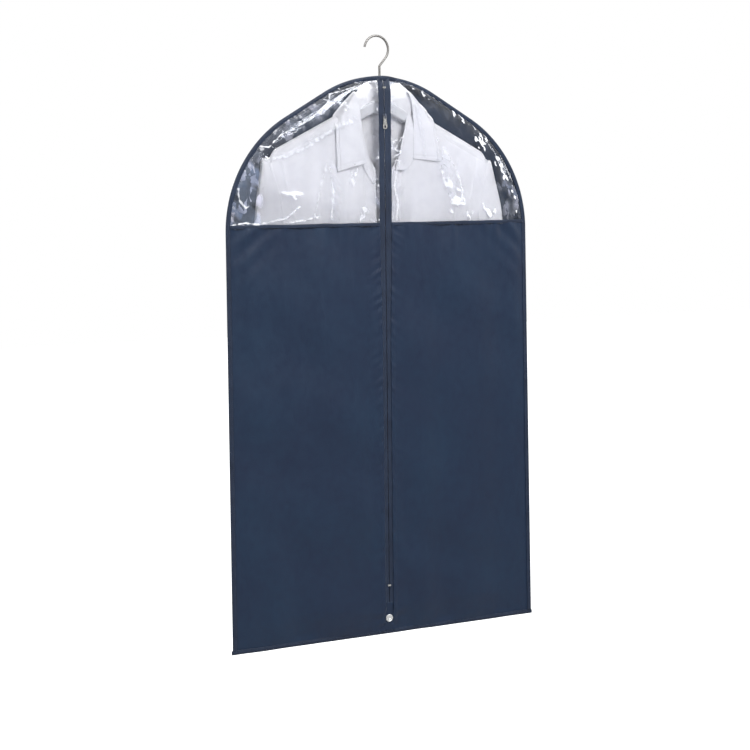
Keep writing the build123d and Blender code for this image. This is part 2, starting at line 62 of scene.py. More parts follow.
CENTRE_X = (hem_low.x + hem_high.x) / 2
FOOT_Z = hem_low.z
HALF_WIDTH = side_high.x - CENTRE_X
HEIGHT = side_high.z - FOOT_Z + 2 * MM
HEM_TOP = hem_high.z - FOOT_Z
HEM_HALF = (hem_high.x - hem_low.x) / 2
BINDING_HALF = (side_high.y - side_low.y) / 2
BINDING_WIDE = 8 * MM
SEAM_Z = (trim_low.z + trim_high.z) / 2 - FOOT_Z
TRIM_HIGH = trim_high.z - trim_low.z
TAPE_EDGE = tape_high.x - CENTRE_X
TAPE_INNER = tape_low.x - CENTRE_X
ZIP_FOOT = tape_low.z - FOOT_Z
ZIP_TOP = tape_high.z - FOOT_Z
TAPE_THICK = 0.6 * MM
ZIP_FOOT_Y = tape_high.y - TAPE_THICK / 2
ZIP_TOP_Y = tape_low.y + TAPE_THICK / 2
RIVET_Z = (rivet_low.z + rivet_high.z) / 2 - FOOT_Z

# The outline, as the frame's bindings have it: apex arc, straight shoulder, side arc, upright side.
APEX_RADIUS = 220 * MM
SHOULDER_RADIUS = 230 * MM
SLOPE = radians(30)
APEX_Z = HEIGHT - APEX_RADIUS
SIDE_X = HALF_WIDTH - SHOULDER_RADIUS
SIDE_Z = (
    APEX_Z
    + (APEX_RADIUS - SHOULDER_RADIUS) * cos(SLOPE)
    - (SIDE_X + (SHOULDER_RADIUS - APEX_RADIUS) * sin(SLOPE)) * tan(SLOPE)
)
MOUTH_HALF = 30 * MM
CLOTH_THICK = 0.35 * MM
COTTON_THICK = 0.5 * MM
COLLAR_THICK = 0.9 * MM
CLOTH_START = 4 * MM
SEAM_INSET = 3 * MM
STITCH_IN = 6.4 * MM
NAMES = {-1: "left", 1: "right"}


def zip_y(z):
    """Where the zip's mid plane is at bag height z: the straight line between the tape's two ends."""
    return ZIP_FOOT_Y + (z - ZIP_FOOT) * (ZIP_TOP_Y - ZIP_FOOT_Y) / (ZIP_TOP - ZIP_FOOT)


# ---- Curves and meshes ----


def smooth(edge0, edge1, value):
    """0 below edge0, 1 above edge1, with a soft S between them."""
    t = np.clip((value - edge0) / (edge1 - edge0), 0, 1)
    return t * t * (3 - 2 * t)


def bell(value, centre, width):
    """A smooth hump of height 1 at centre that falls to a third at width from it."""
    return np.exp(-(((value - centre) / width) ** 2))


def quarter(share):
    """Quarter circle: rises steeply from 0 at share 0 and levels out at 1 at share 1."""
    return np.sqrt(np.clip(1 - (1 - np.clip(share, 0, 1)) ** 2, 0, 1))


def run_along(path):
    """Distance from the first place of a path to each of its places."""
    return np.concatenate([[0], np.cumsum(np.linalg.norm(np.diff(path, axis=0), axis=1))])


def waves(x, z, seed, count, long_wave, short_wave, lean=0.0):
    """Sum of sine waves of random direction and length, roughly from -1 to 1: gentle natural unevenness.
    lean turns the directions round x, so 0 gives waves that run along x."""
    rng = np.random.default_rng(seed)
    total = np.zeros(np.broadcast(x, z).shape)
    for _ in range(count):
        length = long_wave * (short_wave / long_wave) ** rng.random()
        turn = lean + rng.normal(0, 0.45)
        phase = rng.random() * 2 * pi
        run = 2 * pi * (x * cos(turn) + z * sin(turn)) / length
        total += np.sin(run + phase) * (length / long_wave) ** 0.5
    return total / sqrt(count)


def crumple(x, z, seed, count, long_wave, short_wave):
    """Folded film: triangle waves of random directions added up, so flat facets meet in sharp ridges."""
    rng = np.random.default_rng(seed)
    total = np.zeros(np.broadcast(x, z).shape)
    for _ in range(count):
        length = long_wave * (short_wave / long_wave) ** rng.random()
        turn = rng.random() * pi
        sideways = 2 * pi * (x * sin(turn) - z * cos(turn)) / (3.1 * length)
        bend = 0.25 * length * np.sin(sideways + rng.random() * 6)
        run = (x * cos(turn) + z * sin(turn) + bend) / length + rng.random()
        total += (4 * np.abs(run - np.floor(run) - 0.5) - 1) * length / long_wave
    return total / sqrt(count)


def put_down(places):
    """Bag places as frame places: the centre line and the hem's foot go where the frame has them."""
    moved = np.array(places, float)
    moved[..., 0] += CENTRE_X
    moved[..., 2] += FOOT_Z
    return moved


def add_mesh(name, vertices, faces, uv=None):
    """A mesh object from an array of places and an array of faces, with a UV place for each vertex."""
    mesh = bpy.data.meshes.new(name)
    face_list = faces if isinstance(faces, list) else faces.tolist()
    mesh.from_pydata(vertices.reshape(-1, 3).tolist(), [], face_list)
    mesh.update()
    if uv is not None:
        corners = np.empty(len(mesh.loops), np.int32)
        mesh.loops.foreach_get("vertex_index", corners)
        layer = mesh.uv_layers.new(name="cloth")
        layer.data.foreach_set("uv", uv.reshape(-1, 2)[corners].astype(np.float32).ravel())
    mesh.polygons.foreach_set("use_smooth", np.ones(len(mesh.polygons), bool))
    piece = bpy.data.objects.new(name, mesh)
    bpy.context.scene.collection.objects.link(piece)
    return piece


def grid_faces(rows, columns, loop_columns=False):
    """Quads between neighbouring points of a rows by columns grid; looped columns also join their ends."""
    across = np.arange(columns if loop_columns else columns - 1)
    i, j = np.meshgrid(np.arange(rows - 1), across, indexing="ij")
    next_j = (j + 1) % columns
    below = (i + 1) * columns
    quads = np.stack([i * columns + j, i * columns + next_j, below + next_j, below + j], -1)
    return quads.reshape(-1, 4)


def sheet_mesh(name, places, thick=0.0, flip=False):
    """A grid of places as a surface; with thick it gets a second face behind and a closed edge.
    The UV map is the distance along the two directions of the grid, in metres."""
    rows, columns = places.shape[:2]
    across = np.zeros((rows, columns))
    across[:, 1:] = np.cumsum(np.linalg.norm(np.diff(places, axis=1), axis=2), axis=1)
    down = np.zeros((rows, columns))
    down[1:] = np.cumsum(np.linalg.norm(np.diff(places, axis=0), axis=2), axis=0)
    faces = grid_faces(rows, columns)
    if flip:
        faces = faces[:, ::-1]
    piece = add_mesh(name, places, faces, np.stack([across, down], -1))
    if thick:
        wall = piece.modifiers.new("thickness", "SOLIDIFY")
        wall.thickness = thick
        wall.offset = -1
    return piece


def laid(name, x, y, z, thick=0.0, flip=False):
    """A sheet from bag places (x, y, z) on a grid, put down in the frame."""
    return sheet_mesh(name, put_down(np.stack([x, y, z], -1)), thick, flip)


def along(path):
    """Unit tangents of a path of places, by central differences."""
    step = np.gradient(path, axis=0)
    return step / np.linalg.norm(step, axis=1, keepdims=True)


def swept(name, path, profile, side, caps=True):
    """A closed profile of (a, b) points carried along a path: a is measured along side, b square to both
    side and the path. side is one direction or one for each point of the path. The UV map is metres round
    the profile and metres along the path."""
    tangent = along(path)
    side = np.broadcast_to(np.asarray(side, float), path.shape)
    side = side - tangent * np.sum(side * tangent, axis=1, keepdims=True)
    side = side / np.linalg.norm(side, axis=1, keepdims=True)
    other = np.cross(tangent, side)
    shape = profile if np.ndim(profile) == 3 else np.broadcast_to(profile, (len(path),) + np.shape(profile))
    ring = path[:, None] + shape[..., :1] * side[:, None] + shape[..., 1:] * other[:, None]
    rows, columns = ring.shape[:2]
    a, b = shape[rows // 2, :, 0], shape[rows // 2, :, 1]
    clockwise = np.sum(a * np.roll(b, -1) - np.roll(a, -1) * b) < 0
    faces = grid_faces(rows, columns, loop_columns=True)
    faces = (faces[:, ::-1] if clockwise else faces).tolist()
    if caps:
        first, last = list(range(columns)), list(range((rows - 1) * columns, rows * columns))
        faces += [first, last[::-1]] if clockwise else [first[::-1], last]
    run = run_along(path)
    steps = np.linalg.norm(np.diff(shape[rows // 2], axis=0), axis=1)
    across = np.concatenate([[0], np.cumsum(steps)])
    uv = np.stack(np.broadcast_arrays(across[None, :], run[:, None]), -1)
    return add_mesh(name, ring, faces, uv)


def dress(piece, material, body="bag", replaces=()):
    """Gives a piece its material, the body it moves with and the nodes it stands for."""
    piece.data.materials.clear()
    piece.data.materials.append(material)
    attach(piece, body)
    if replaces:
        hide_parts(*replaces)
    return piece


# ---- The bag's shape ----


def half_width(z, inset=0.0):
    """Half of the width at bag height z of the outline drawn inset from its edge: upright to SIDE_Z, then the
    side arc, the straight shoulder and the apex arc. The bag hangs a little wider at its hem."""
    z = np.asarray(z, float)
    apex, side = APEX_RADIUS - inset, SHOULDER_RADIUS - inset
    apex_end = APEX_Z + apex * cos(SLOPE)
    side_end = SIDE_Z + side * cos(SLOPE)
    top = np.sqrt(np.clip(apex**2 - (z - APEX_Z) ** 2, 0, None))
    shoulder = apex * sin(SLOPE) + (apex_end - z) / tan(SLOPE)
    low = SIDE_X + np.sqrt(np.clip(side**2 - np.clip(z - SIDE_Z, 0, None) ** 2, 0, None))
    plain = np.where(z >= apex_end, top, np.where(z >= side_end, shoulder, low))
    return plain * flare(z)


def flare(z):
    """Share of the nominal width at height z: just under 1 at the shoulder, just over 1 at the hem."""
    return 0.992 + 0.021 * (1 - np.clip(np.asarray(z, float) / SIDE_Z, 0, 1))


def zip_line(z):
    """Depth y of the zip at height z. It is straight where the slider runs, leans back to the mouth above,
    and falls in to the hem below the zip's foot."""
    z = np.asarray(z, float)
    above = 6 * MM * smooth(ZIP_TOP - 14 * MM, HEIGHT, z)
    below = ZIP_FOOT_Y * smooth(HEM_TOP * 0.5, ZIP_FOOT, z)
    return np.where(z < ZIP_FOOT, below, zip_y(z) + above)


def fullness(z):
    """Power of the cross section: how squarely the front stands off the side seams, most at the shoulders."""
    return 2.4 + 2.8 * smooth(0.25, 0.80, z)


def front_folds(side, x, z):
    """Folds of one front leaf, forward positive: soft upright folds, puckers under the window trim, creases
    out of the upper corner and the rivet, slanting wrinkles beside the zip, and puckers over the hem."""
    seed = 11 if side < 0 else 23
    ax = np.abs(x)
    from_edge = half_width(z) - ax
    below = SEAM_Z - z
    free = smooth(0, 35 * MM, from_edge) * smooth(0, 30 * MM, ax - 10 * MM)
    upright = 1.9 * MM * waves(x, 0.16 * z, seed, 7, 0.16, 0.045)
    drift = 1.5 * MM * waves(x, z, seed + 1, 6, 0.26, 0.08, lean=0.9)
    pucker = waves(x, 0.35 * z, seed + 2, 9, 0.030, 0.011) * np.exp(-below / (11 * MM))
    long_pucker = waves(x, 0.2 * z, seed + 3, 6, 0.055, 0.022) * np.exp(-below / (45 * MM))
    fan = np.sin(2 * pi * (ax * 0.62 + z * 0.78) / (31 * MM) + seed)
    corner = fan * bell(from_edge + 0.9 * below, 20 * MM, 75 * MM)
    beside = np.exp(-np.clip(ax - 10 * MM, 0, None) / (11 * MM))
    slant = waves(0.6 * ax + z, 0.4 * ax, seed + 4, 9, 0.050, 0.012) * beside
    around = np.arctan2(z - RIVET_Z, ax)
    reach = np.hypot(ax, z - RIVET_Z)
    star = np.sin(7 * around + seed) * np.exp(-reach / (26 * MM)) * smooth(5 * MM, 16 * MM, reach)
    hem = waves(x, 0.4 * z, seed + 5, 8, 0.05, 0.018) * np.exp(-(z - HEM_TOP) / (18 * MM))
    side_pull = waves(0.2 * x, z, seed + 6, 8, 0.07, 0.025) * np.exp(-from_edge / (14 * MM))
    folds = (upright + drift) * free + 0.75 * MM * pucker + 1.3 * MM * long_pucker * free
    folds += 1.2 * MM * corner * free + MM * slant + 1.6 * MM * star + 0.6 * MM * hem
    folds += 0.6 * MM * side_pull
    pinned = smooth(HEM_TOP * 0.6, HEM_TOP + 10 * MM, z) * smooth(6 * MM, 14 * MM, from_edge)
    return folds * pinned * smooth(5 * MM, 11 * MM, ax)


def front_depth(side, x, z, folds=True):
    """How far the front stands forward at (x, z): the zip's depth at the tape, falling to nothing at the side
    seam as 1 minus a power of the share across, plus the folds."""
    ax = np.abs(x)
    edge = half_width(z, BINDING_WIDE * 0.6)
    share = np.clip((ax - TAPE_EDGE) / np.maximum(edge - TAPE_EDGE, 1e-6), 0, 1)
    crown = -zip_line(z) + tape_lift(ax)
    depth = crown * (1 - share ** fullness(z))
    depth = np.where(ax < TAPE_EDGE, crown, depth)
    return depth + (front_folds(side, x, z) if folds else 0)


def tape_lift(ax):
    """The tapes lie in a shallow V: flat under the slider, then forward towards their outer edges."""
    return 1.7 * MM * smooth(4.2 * MM, TAPE_EDGE, ax)


def leaf_grid(side, z_values, columns, first, inset):
    """Places of one front leaf on rows at z_values, from x = first out to the outline drawn inset. Columns
    crowd towards both edges, where the folds are finest."""
    share = np.linspace(0, 1, columns)
    share = share - 0.10 * np.sin(2 * pi * share) / pi
    z = np.repeat(z_values[:, None], columns, 1)
    x = first + (half_width(z, inset) - first) * share[None, :]
    return side * x, z


def tape_cover(z):
    """How far from the middle the front cloth's folded edge lies at height z: at the tape's edge below the
    window, closing in over the tape further down."""
    closing = 4.0 * MM * smooth(SEAM_Z + 4 * MM, 0.50, z) ** 0.8
    return TAPE_EDGE - 0.6 * MM - closing + 0.25 * MM * waves(z, 0 * z, 107, 6, 0.12, 0.03)


def front_panel(side):
    """Lower cloth of one front leaf, from inside the hem's fold up to the window seam."""
    rise = np.linspace(0, 1, 230)
    z_values = CLOTH_START + (SEAM_Z - MM - CLOTH_START) * (1 - (1 - rise) ** 1.5)
    x, z = leaf_grid(side, z_values, 180, tape_cover(z_values)[:, None], SEAM_INSET)
    over_tape = 1.1 * MM * smooth(TAPE_EDGE + 6 * MM, TAPE_EDGE - MM, np.abs(x))
    fold_edge = 0.5 * MM * bell(np.abs(x) - tape_cover(z), 1.2 * MM, MM)
    y = -front_depth(side, x, z) + 0.3 * MM - over_tape - fold_edge
    return laid("front_cloth_" + NAMES[side], x, y, z, CLOTH_THICK, side < 0)


# Creases of the film by side, each a line through bag points in millimetres with its width and
# strength, and its crumpled places, each as x, z, reach and strength.
# Along these crease lines the film is painted white, partly as the whitening of creased film and partly as
# painted highlight.
FILM_LINES = {
    -1: [
        ([(-43, 983), (-100, 967), (-106, 954), (-138, 926), (-149, 919), (-196, 896)], 1.1, 0.62),
        ([(-196, 896), (-217, 876), (-232, 878), (-244, 868)], 1.1, 0.9),
        ([(-112, 958), (-84, 949), (-70, 946)], 1.1, 0.4),
        ([(-221, 856), (-189, 860), (-150, 875), (-95, 910), (-61, 921)], 3.6, 0.26),
        ([(-112, 850), (-124, 812), (-137, 760)], 2.2, 0.25),
        ([(-104, 846), (-92, 800), (-96, 752)], 8.0, 0.16),
        ([(-150, 884), (-110, 900), (-60, 924)], 7.0, 0.16),
        ([(-106, 838), (-101, 794), (-106, 750)], 2.2, 0.30),
        ([(-242, 745), (-191, 754), (-166, 774)], 1.6, 0.50),
        ([(-190, 746), (-150, 752), (-128, 757)], 1.6, 0.55),
        ([(-288, 744), (-262, 748), (-240, 744)], 1.4, 0.9),
        ([(-256, 850), (-275, 824), (-288, 794), (-291, 772)], 1.0, 0.45),
        ([(-274, 806), (-271, 786), (-262, 773), (-257, 776)], 1.8, 0.6),
        ([(-197, 799), (-184, 797), (-172, 800), (-160, 796)], 1.5, 0.75),
        ([(-188, 796), (-176, 794), (-166, 796)], 3.0, 0.7),
        ([(-178, 793), (-172, 788)], 1.8, 0.7),
    ],
    1: [
        ([(104, 892), (118, 868), (112, 838), (124, 800), (134, 776)], 1.6, 0.40),
        ([(128, 862), (150, 820), (161, 776)], 1.6, 0.40),
        ([(116, 866), (124, 830), (142, 784)], 13.0, 0.20),
        ([(60, 950), (74, 900), (78, 860)], 5.0, 0.16),
        ([(134, 775), (160, 775)], 2.2, 0.85),
        ([(12, 883), (34, 893), (20, 872), (33, 867), (11, 855)], 1.2, 0.55),
        ([(12, 850), (31, 854), (26, 838)], 1.2, 0.45),
        ([(231, 860), (243, 838), (254, 820)], 1.8, 0.95),
        ([(166, 760), (172, 747), (178, 760)], 1.2, 0.7),
        ([(24, 838), (18, 805), (26, 780), (22, 750)], 1.6, 0.35),
    ],
}
# Crumpled spots of the film, painted white as glints.
FILM_GLINT_SPOTS = {
    -1: [
        (-178, 786, 3, 0.5), (-64, 822, 9, 0.35),
        (-58, 838, 7, 0.35), (-40, 764, 8, 0.4), (-48, 752, 7, 0.4), (-72, 946, 6, 0.4), (-206, 905, 6, 0.3),
        (-232, 874, 5, 0.5), (-160, 932, 6, 0.3),
    ],
    1: [
        (199, 886, 9, 0.95), (190, 889, 5, 0.9), (212, 888, 5, 0.9), (204, 875, 5, 0.9), (234, 853, 5, 0.9),
        (245, 838, 6, 0.95), (253, 820, 6, 1.0), (92, 965, 4, 0.95), (80, 970, 4, 0.7), (58, 978, 3, 0.7),
        (146, 936, 5, 0.7), (164, 924, 4, 0.8), (189, 907, 3, 0.9), (267, 794, 4, 0.95), (273, 782, 3, 0.9),
        (275, 755, 3, 0.9), (225, 762, 6, 0.85), (212, 757, 8, 0.95), (200, 763, 5, 0.8), (145, 783, 12, 0.8),
        (128, 812, 9, 0.6), (118, 840, 6, 0.5), (134, 764, 3, 0.8), (86, 968, 3, 0.9),
    ],
}


def film_whitening_and_glints(side, x, z):
    """How white the film is painted at each place, 0 clear to 1 white: along its crease lines, partly as
    the whitening of creased film and partly as painted highlight; in its crumpled spots, on facets along
    the arch and as sparkles beside the zip tape, as painted glints."""
    seed = 83 if side < 0 else 97
    ax = np.abs(x)
    ragged = 0.60 + 0.8 * waves(x, z, seed, 7, 0.020, 0.006, lean=0.8)
    marks = np.zeros_like(x)
    # partly painted highlight: the film is painted white along its crease lines, partly as crease whitening
    for points, wide, strength in FILM_LINES[side]:
        away = distance_to(x + 0.8 * MM * waves(x, z, seed + 5, 6, 0.012, 0.005), z, points)
        width = wide * MM * np.clip(0.4 + ragged, 0.35, 1.6)
        core = smooth(width, 0.35 * width, away) * np.clip(ragged + 0.3, 0.1, 1)
        marks = np.maximum(marks, strength * core)
    facets = crumple(x * 1.35 + 0.25 * z, z * 0.60, seed + 1, 7, 0.020, 0.0055)
    wander = 3.0 * MM * waves(x, z, seed + 6, 7, 0.020, 0.007, lean=0.8)
    body, edge = smooth(-0.10, 0.04, facets), bell(facets, -0.03, 0.035)
    # painted glints: the crumpled spots are painted white
    for spot_x, spot_z, reach, strength in FILM_GLINT_SPOTS[side]:
        away = np.hypot(x - spot_x * MM, (z - spot_z * MM) * 0.7) + wander
        inside = smooth(reach * MM, reach * 0.70 * MM, away)
        share = body if strength > 0.65 else np.maximum(0.75 * body, 1.25 * edge)
        marks = np.maximum(marks, strength * inside * share)
    # painted glints: sparkles painted white on the film beside the zip tape
    tape_glints = smooth(0.28, 0.55, crumple(x, z, seed + 2, 5, 0.012, 0.004))
    beside = np.exp(-np.clip(ax - TAPE_EDGE, 0, None) / (2.4 * MM))
    broken = smooth(0.0, 0.4, waves(z, 0 * z, seed + 3, 8, 0.05, 0.009) + 0.25)
    marks = np.maximum(marks, 0.9 * tape_glints * beside * broken)
    # painted glints: pale crumpled facets on the film near the arch
    rim = np.exp(-np.clip(edge_distance(ax, z), 0, None) / (5 * MM))
    rim = rim * smooth(SEAM_Z, SEAM_Z + 20 * MM, z)
    rim_glint_facets = smooth(0.34, 0.62, crumple(x, z, seed + 4, 5, 0.018, 0.006))
    marks = np.maximum(marks, 0.30 * rim_glint_facets * rim)
    return np.clip(marks, 0, 1)


def film_slack_and_fill(side, x, z):
    """Where the film is soft and clouded, 0 to 1: the strip between the arch and its first long crease on
    the left, its lower outer corner, and patches along the tape. The clouding is partly haze and partly
    painted fill light over the shaded inside of the bag, most in the lower outer corner."""
    ax = np.abs(x)
    arch = edge_distance(ax, z)
    strip = 0.38 * smooth(40 * MM, 20 * MM, arch)
    strip = strip * smooth(0.98, 0.94, z) * smooth(0.85, 0.90, z)
    # painted fill light: the lower outer corner is clouded pale bluish where the inside of the bag lies in
    # shade
    corner = 1.3 * smooth(0.226, 0.240, ax) * smooth(0.885, 0.85, z)
    tape = 0.5 * np.exp(-np.clip(ax - TAPE_EDGE, 0, None) / (16 * MM))
    share = (strip + corner) * (1.0 if side < 0 else 0.35) + tape
    return np.clip(share * (0.75 + 0.6 * waves(x, z, 89 + side, 7, 0.05, 0.015, lean=0.8)), 0, 1)


def film_folds(side, x, z):
    """Creases of one window, forward positive: sharp facets along the arch and beside the zip, long slack
    folds across the pane, and ridges along the long creases."""
    seed = 41 if side < 0 else 67
    ax = np.abs(x)
    arch = edge_distance(ax, z)
    near_arch = np.exp(-np.clip(arch, 0, None) / (20 * MM))
    near_zip = np.exp(-np.clip(ax - TAPE_EDGE, 0, None) / (10 * MM))
    near_seam = np.exp(-np.clip(z - SEAM_Z, 0, None) / (12 * MM))
    fine = crumple(x, z, seed, 9, 0.034, 0.010)
    medium = crumple(x, z, seed + 1, 6, 0.085, 0.035)
    long_fold = crumple(x * 0.45 + z * 0.2, z * 0.9, seed + 2, 5, 0.20, 0.08)
    slack = film_slack_and_fill(side, x, z)
    fine_share = 0.30 * near_arch + 0.6 * near_zip + 0.30 * near_seam + 0.02 + 0.45 * slack
    fold = 0.7 * MM * fine * fine_share
    fold += 0.9 * MM * medium * (0.15 + 0.50 * near_arch)
    fold += 1.2 * MM * long_fold
    fold *= 1 - 0.75 * smooth(0.86, 0.92, z) * (side < 0)
    for points, _, strength in FILM_LINES[side]:
        fold = fold + 0.7 * MM * strength * np.exp(-distance_to(x, z, points) / (4.5 * MM))
    fold = np.where(fold < 0, 0.45 * fold, fold)
    pinned = smooth(0, 10 * MM, arch) * smooth(0, 5 * MM, z - SEAM_Z)
    return fold * pinned * smooth(-5 * MM, 6 * MM, ax - TAPE_EDGE)


def edge_distance(ax, z):
    """Distance in from the arch's inner edge at (ax, z), taken from the side arc, the shoulder and the apex
    arc, whichever the place faces."""
    side = SHOULDER_RADIUS - BINDING_WIDE - np.hypot(ax - SIDE_X, z - SIDE_Z)
    apex = APEX_RADIUS - BINDING_WIDE - np.hypot(ax, z - APEX_Z)
    start = np.array([APEX_RADIUS * sin(SLOPE), APEX_Z + APEX_RADIUS * cos(SLOPE)])
    shoulder = (start[0] - ax) * sin(SLOPE) + (start[1] - z) * cos(SLOPE) - BINDING_WIDE
    turn_side = np.arctan2(ax - SIDE_X, z - SIDE_Z)
    turn_apex = np.arctan2(ax, z - APEX_Z)
    lower = np.where(turn_side > SLOPE, side, shoulder)
    return np.where((turn_apex < SLOPE) & (z > APEX_Z), apex, lower)


def window_film(side):
    """Clear film of one front leaf, from behind the window trim up into the arch. Its attributes say how
    white it is painted at each place, from creases and from painted glints, and how clouded, partly with
    painted fill light."""
    z_values = np.linspace(SEAM_Z - 4 * MM, HEIGHT - 10 * MM, 250)
    x, z = leaf_grid(side, z_values, 270, TAPE_EDGE - 5 * MM, SEAM_INSET)
    y = -front_depth(side, x, z, folds=False) - film_folds(side, x, z) + 0.8 * MM
    piece = laid("window_film_" + NAMES[side], x, y, z, 0.0, side < 0)
    for label, values in (("crease", film_whitening_and_glints(side, x, z)), ("cloud_and_fill_light", film_slack_and_fill(side, x, z))):
        layer = piece.data.attributes.new(label, "FLOAT", "POINT")
        layer.data.foreach_set("value", values.astype(np.float32).ravel())
    return piece


def back_fold(x, z):
    """Soft folds of the back, backward positive, with puckers along the seams."""
    from_edge = np.minimum(half_width(z) - np.abs(x), HEIGHT - z)
    free = smooth(4 * MM, 45 * MM, from_edge) * smooth(HEM_TOP, 70 * MM, z)
    soft = 1.6 * MM * waves(x, 0.15 * z, 5, 8, 0.24, 0.06)
    soft = soft + 0.9 * MM * waves(x, z, 6, 6, 0.4, 0.12, lean=0.8)
    pull = 0.5 * MM * waves(0.2 * x, z, 8, 8, 0.08, 0.028) * np.exp(-from_edge / (16 * MM))
    hem = 0.6 * MM * waves(x, 0.3 * z, 9, 8, 0.06, 0.02) * np.exp(-(z - HEM_TOP) / (24 * MM))
    held = smooth(4 * MM, 12 * MM, from_edge) * smooth(HEM_TOP * 0.6, HEM_TOP + 8 * MM, z)
    return soft * free + (pull + hem) * held


def back_crown(z):
    """How far the back stands out at height z, before its folds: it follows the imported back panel."""
    deep, shallow = back_high.y, 5 * MM
    rise = shallow + (deep - shallow) * np.clip((z - ZIP_FOOT) / (ZIP_TOP - ZIP_FOOT), 0, 1)
    drawn_in = shallow * smooth(ZIP_TOP - 40 * MM, HEIGHT, z)
    return rise * smooth(HEM_TOP * 0.5, ZIP_FOOT, z) - drawn_in


def back_depth(x, z):
    """How far the back stands out at (x, z) before its folds: nothing at the seams, the crown in between."""
    share = np.clip(np.abs(x) / half_width(z, SEAM_INSET), 0, 1)
    return back_crown(z) * (1 - share ** (fullness(z) + 0.6))


def back_cloth():
    """The back in one piece: its depth falls to nothing at the seams as 1 minus a power of the share across,
    and it stays a millimetre behind the front cloths where the two lie close."""
    z_values = np.linspace(CLOTH_START, HEIGHT - 9 * MM, 230)
    share = np.linspace(-1, 1, 200)
    share = share + 0.06 * np.sin(2 * pi * share) / pi
    z = np.repeat(z_values[:, None], share.size, 1)
    x = half_width(z, SEAM_INSET) * share[None, :]
    below = np.minimum(z, SEAM_Z)
    front = np.where(x < 0, front_depth(-1, x, below), front_depth(1, x, below))
    y = np.maximum(back_depth(x, z) + back_fold(x, z), 1.4 * MM - front)
    return laid("back_cloth", x, y, z, CLOTH_THICK, True)


# ---- Folded tape: edge bindings, mouth, hem, window trims, zip tapes ----

def outline_path(side, end_x=MOUTH_HALF, start_z=HEM_TOP - MM, step=2.5 * MM):
    """Places along one side of the outline, from start_z up over the arch to x = end_x."""
    upright = np.arange(start_z, SIDE_Z, step)
    turn = np.linspace(pi / 2, SLOPE, 96)
    arc_x, arc_z = SIDE_X + SHOULDER_RADIUS * np.sin(turn), SIDE_Z + SHOULDER_RADIUS * np.cos(turn)
    x1, z1 = APEX_RADIUS * sin(SLOPE), APEX_Z + APEX_RADIUS * cos(SLOPE)
    run = np.linspace(0, 1, 34)[1:]
    line_x, line_z = arc_x[-1] + (x1 - arc_x[-1]) * run, arc_z[-1] + (z1 - arc_z[-1]) * run
    top = np.linspace(SLOPE, np.arcsin(end_x / APEX_RADIUS), 40)[1:]
    x = np.concatenate([np.full(upright.size, HALF_WIDTH), arc_x, line_x, APEX_RADIUS * np.sin(top)])
    z = np.concatenate([upright, arc_z, line_z, APEX_Z + APEX_RADIUS * np.cos(top)])
    return np.stack([side * x * flare(z), np.zeros_like(x), z], -1)


def inward(path):
    """Directions square to a path in the seam plane, towards the middle of the bag."""
    tangent = along(path)
    square = np.stack([tangent[:, 2], np.zeros(len(path)), -tangent[:, 0]], -1)
    towards = np.array([0, 0, 0.55]) - path
    return square * np.sign(np.sum(square * towards, axis=1, keepdims=True))


def fold_profile(path, wide, half_thick, seed, soft=0.12):
    """Cross sections of folded tape along a path: round at the fold, flat sides that draw in at the stitch
    line, open edges close together. Thickness breathes a little along the path."""
    around = np.linspace(0, 1, 15)
    into = wide * (1 - np.cos(around * pi / 2)) ** 1.15
    swell = half_thick * (1 - (1 - into / wide) ** 4) ** 0.5
    stitched = bell(into, STITCH_IN * wide / BINDING_WIDE, 0.7 * MM)
    swell = swell * (1 - 0.22 * smooth(0.5, 1.0, into / wide)) - 0.28 * MM * stitched
    run = run_along(path)
    breath = 1 + soft * waves(run, 0 * run, seed, 8, 0.06, 0.012)
    a = np.concatenate([into, into[::-1][:-1]])
    b = np.concatenate([swell, -swell[::-1][:-1]])
    widths = 1 + 0.04 * waves(run, 0 * run, seed + 1, 6, 0.09, 0.03)
    return np.stack([a[None, :] * widths[:, None], b[None, :] * breath[:, None]], -1)


def edge_binding(side):
    """Folded tape round one side, from the hem over the arch to the mouth."""
    path = outline_path(side)
    side_way = inward(path)
    shapes = fold_profile(path, BINDING_WIDE, BINDING_HALF * 0.82, 71 + side)
    return swept("edge_tape_" + NAMES[side], put_down(path), shapes, side_way)


def mouth_path(depth, facing):
    """The lip of the mouth: along the top of the outline, bowed out by depth times the square of a cosine."""
    turn = np.linspace(-1, 1, 61) * np.arcsin((MOUTH_HALF + 4 * MM) / APEX_RADIUS)
    x, z = APEX_RADIUS * np.sin(turn), APEX_Z + APEX_RADIUS * np.cos(turn)
    bow = np.cos(np.clip(x / (MOUTH_HALF + 2 * MM), -1, 1) * pi / 2) ** 1.4
    return np.stack([x * flare(z), facing * (depth * bow + 0.6 * MM), z], -1)


def mouth_binding(depth, facing, name):
    """One lip of the mouth: folded tape that bows out to let the hook through."""
    path = mouth_path(depth, facing)
    shapes = fold_profile(path, BINDING_WIDE, BINDING_HALF * 0.62, 81 + facing)
    return swept(name, put_down(path), shapes, (0, 0, -1))


def hem_tape():
    """Folded tape along the foot, a little longer than the bag is wide, its ends turned under."""
    x = np.linspace(-HEM_HALF, HEM_HALF, 320)
    drift = 0.35 * MM * waves(x, 0 * x, 91, 7, 0.25, 0.06)
    ends = smooth(0, 1.6 * MM, HEM_HALF - np.abs(x))
    sway = 0.5 * MM * waves(x, 0 * x, 92, 5, 0.3, 0.1)
    path = np.stack([x * 1.003, sway, 0.4 * MM + drift * ends], -1)
    shapes = fold_profile(path, HEM_TOP, BINDING_HALF * 0.9, 93, 0.10)
    shapes = shapes * (0.72 + 0.28 * ends)[:, None, None]
    return swept("hem_tape", put_down(path), shapes, (0, 0, 1))


def surface_path(side, x, z, lift):
    """Places that follow the front of one leaf at (x, z), lift in front of it."""
    y = -front_depth(side, x, z, folds=False) - lift
    return np.stack([x, y, z + 0 * x], -1)


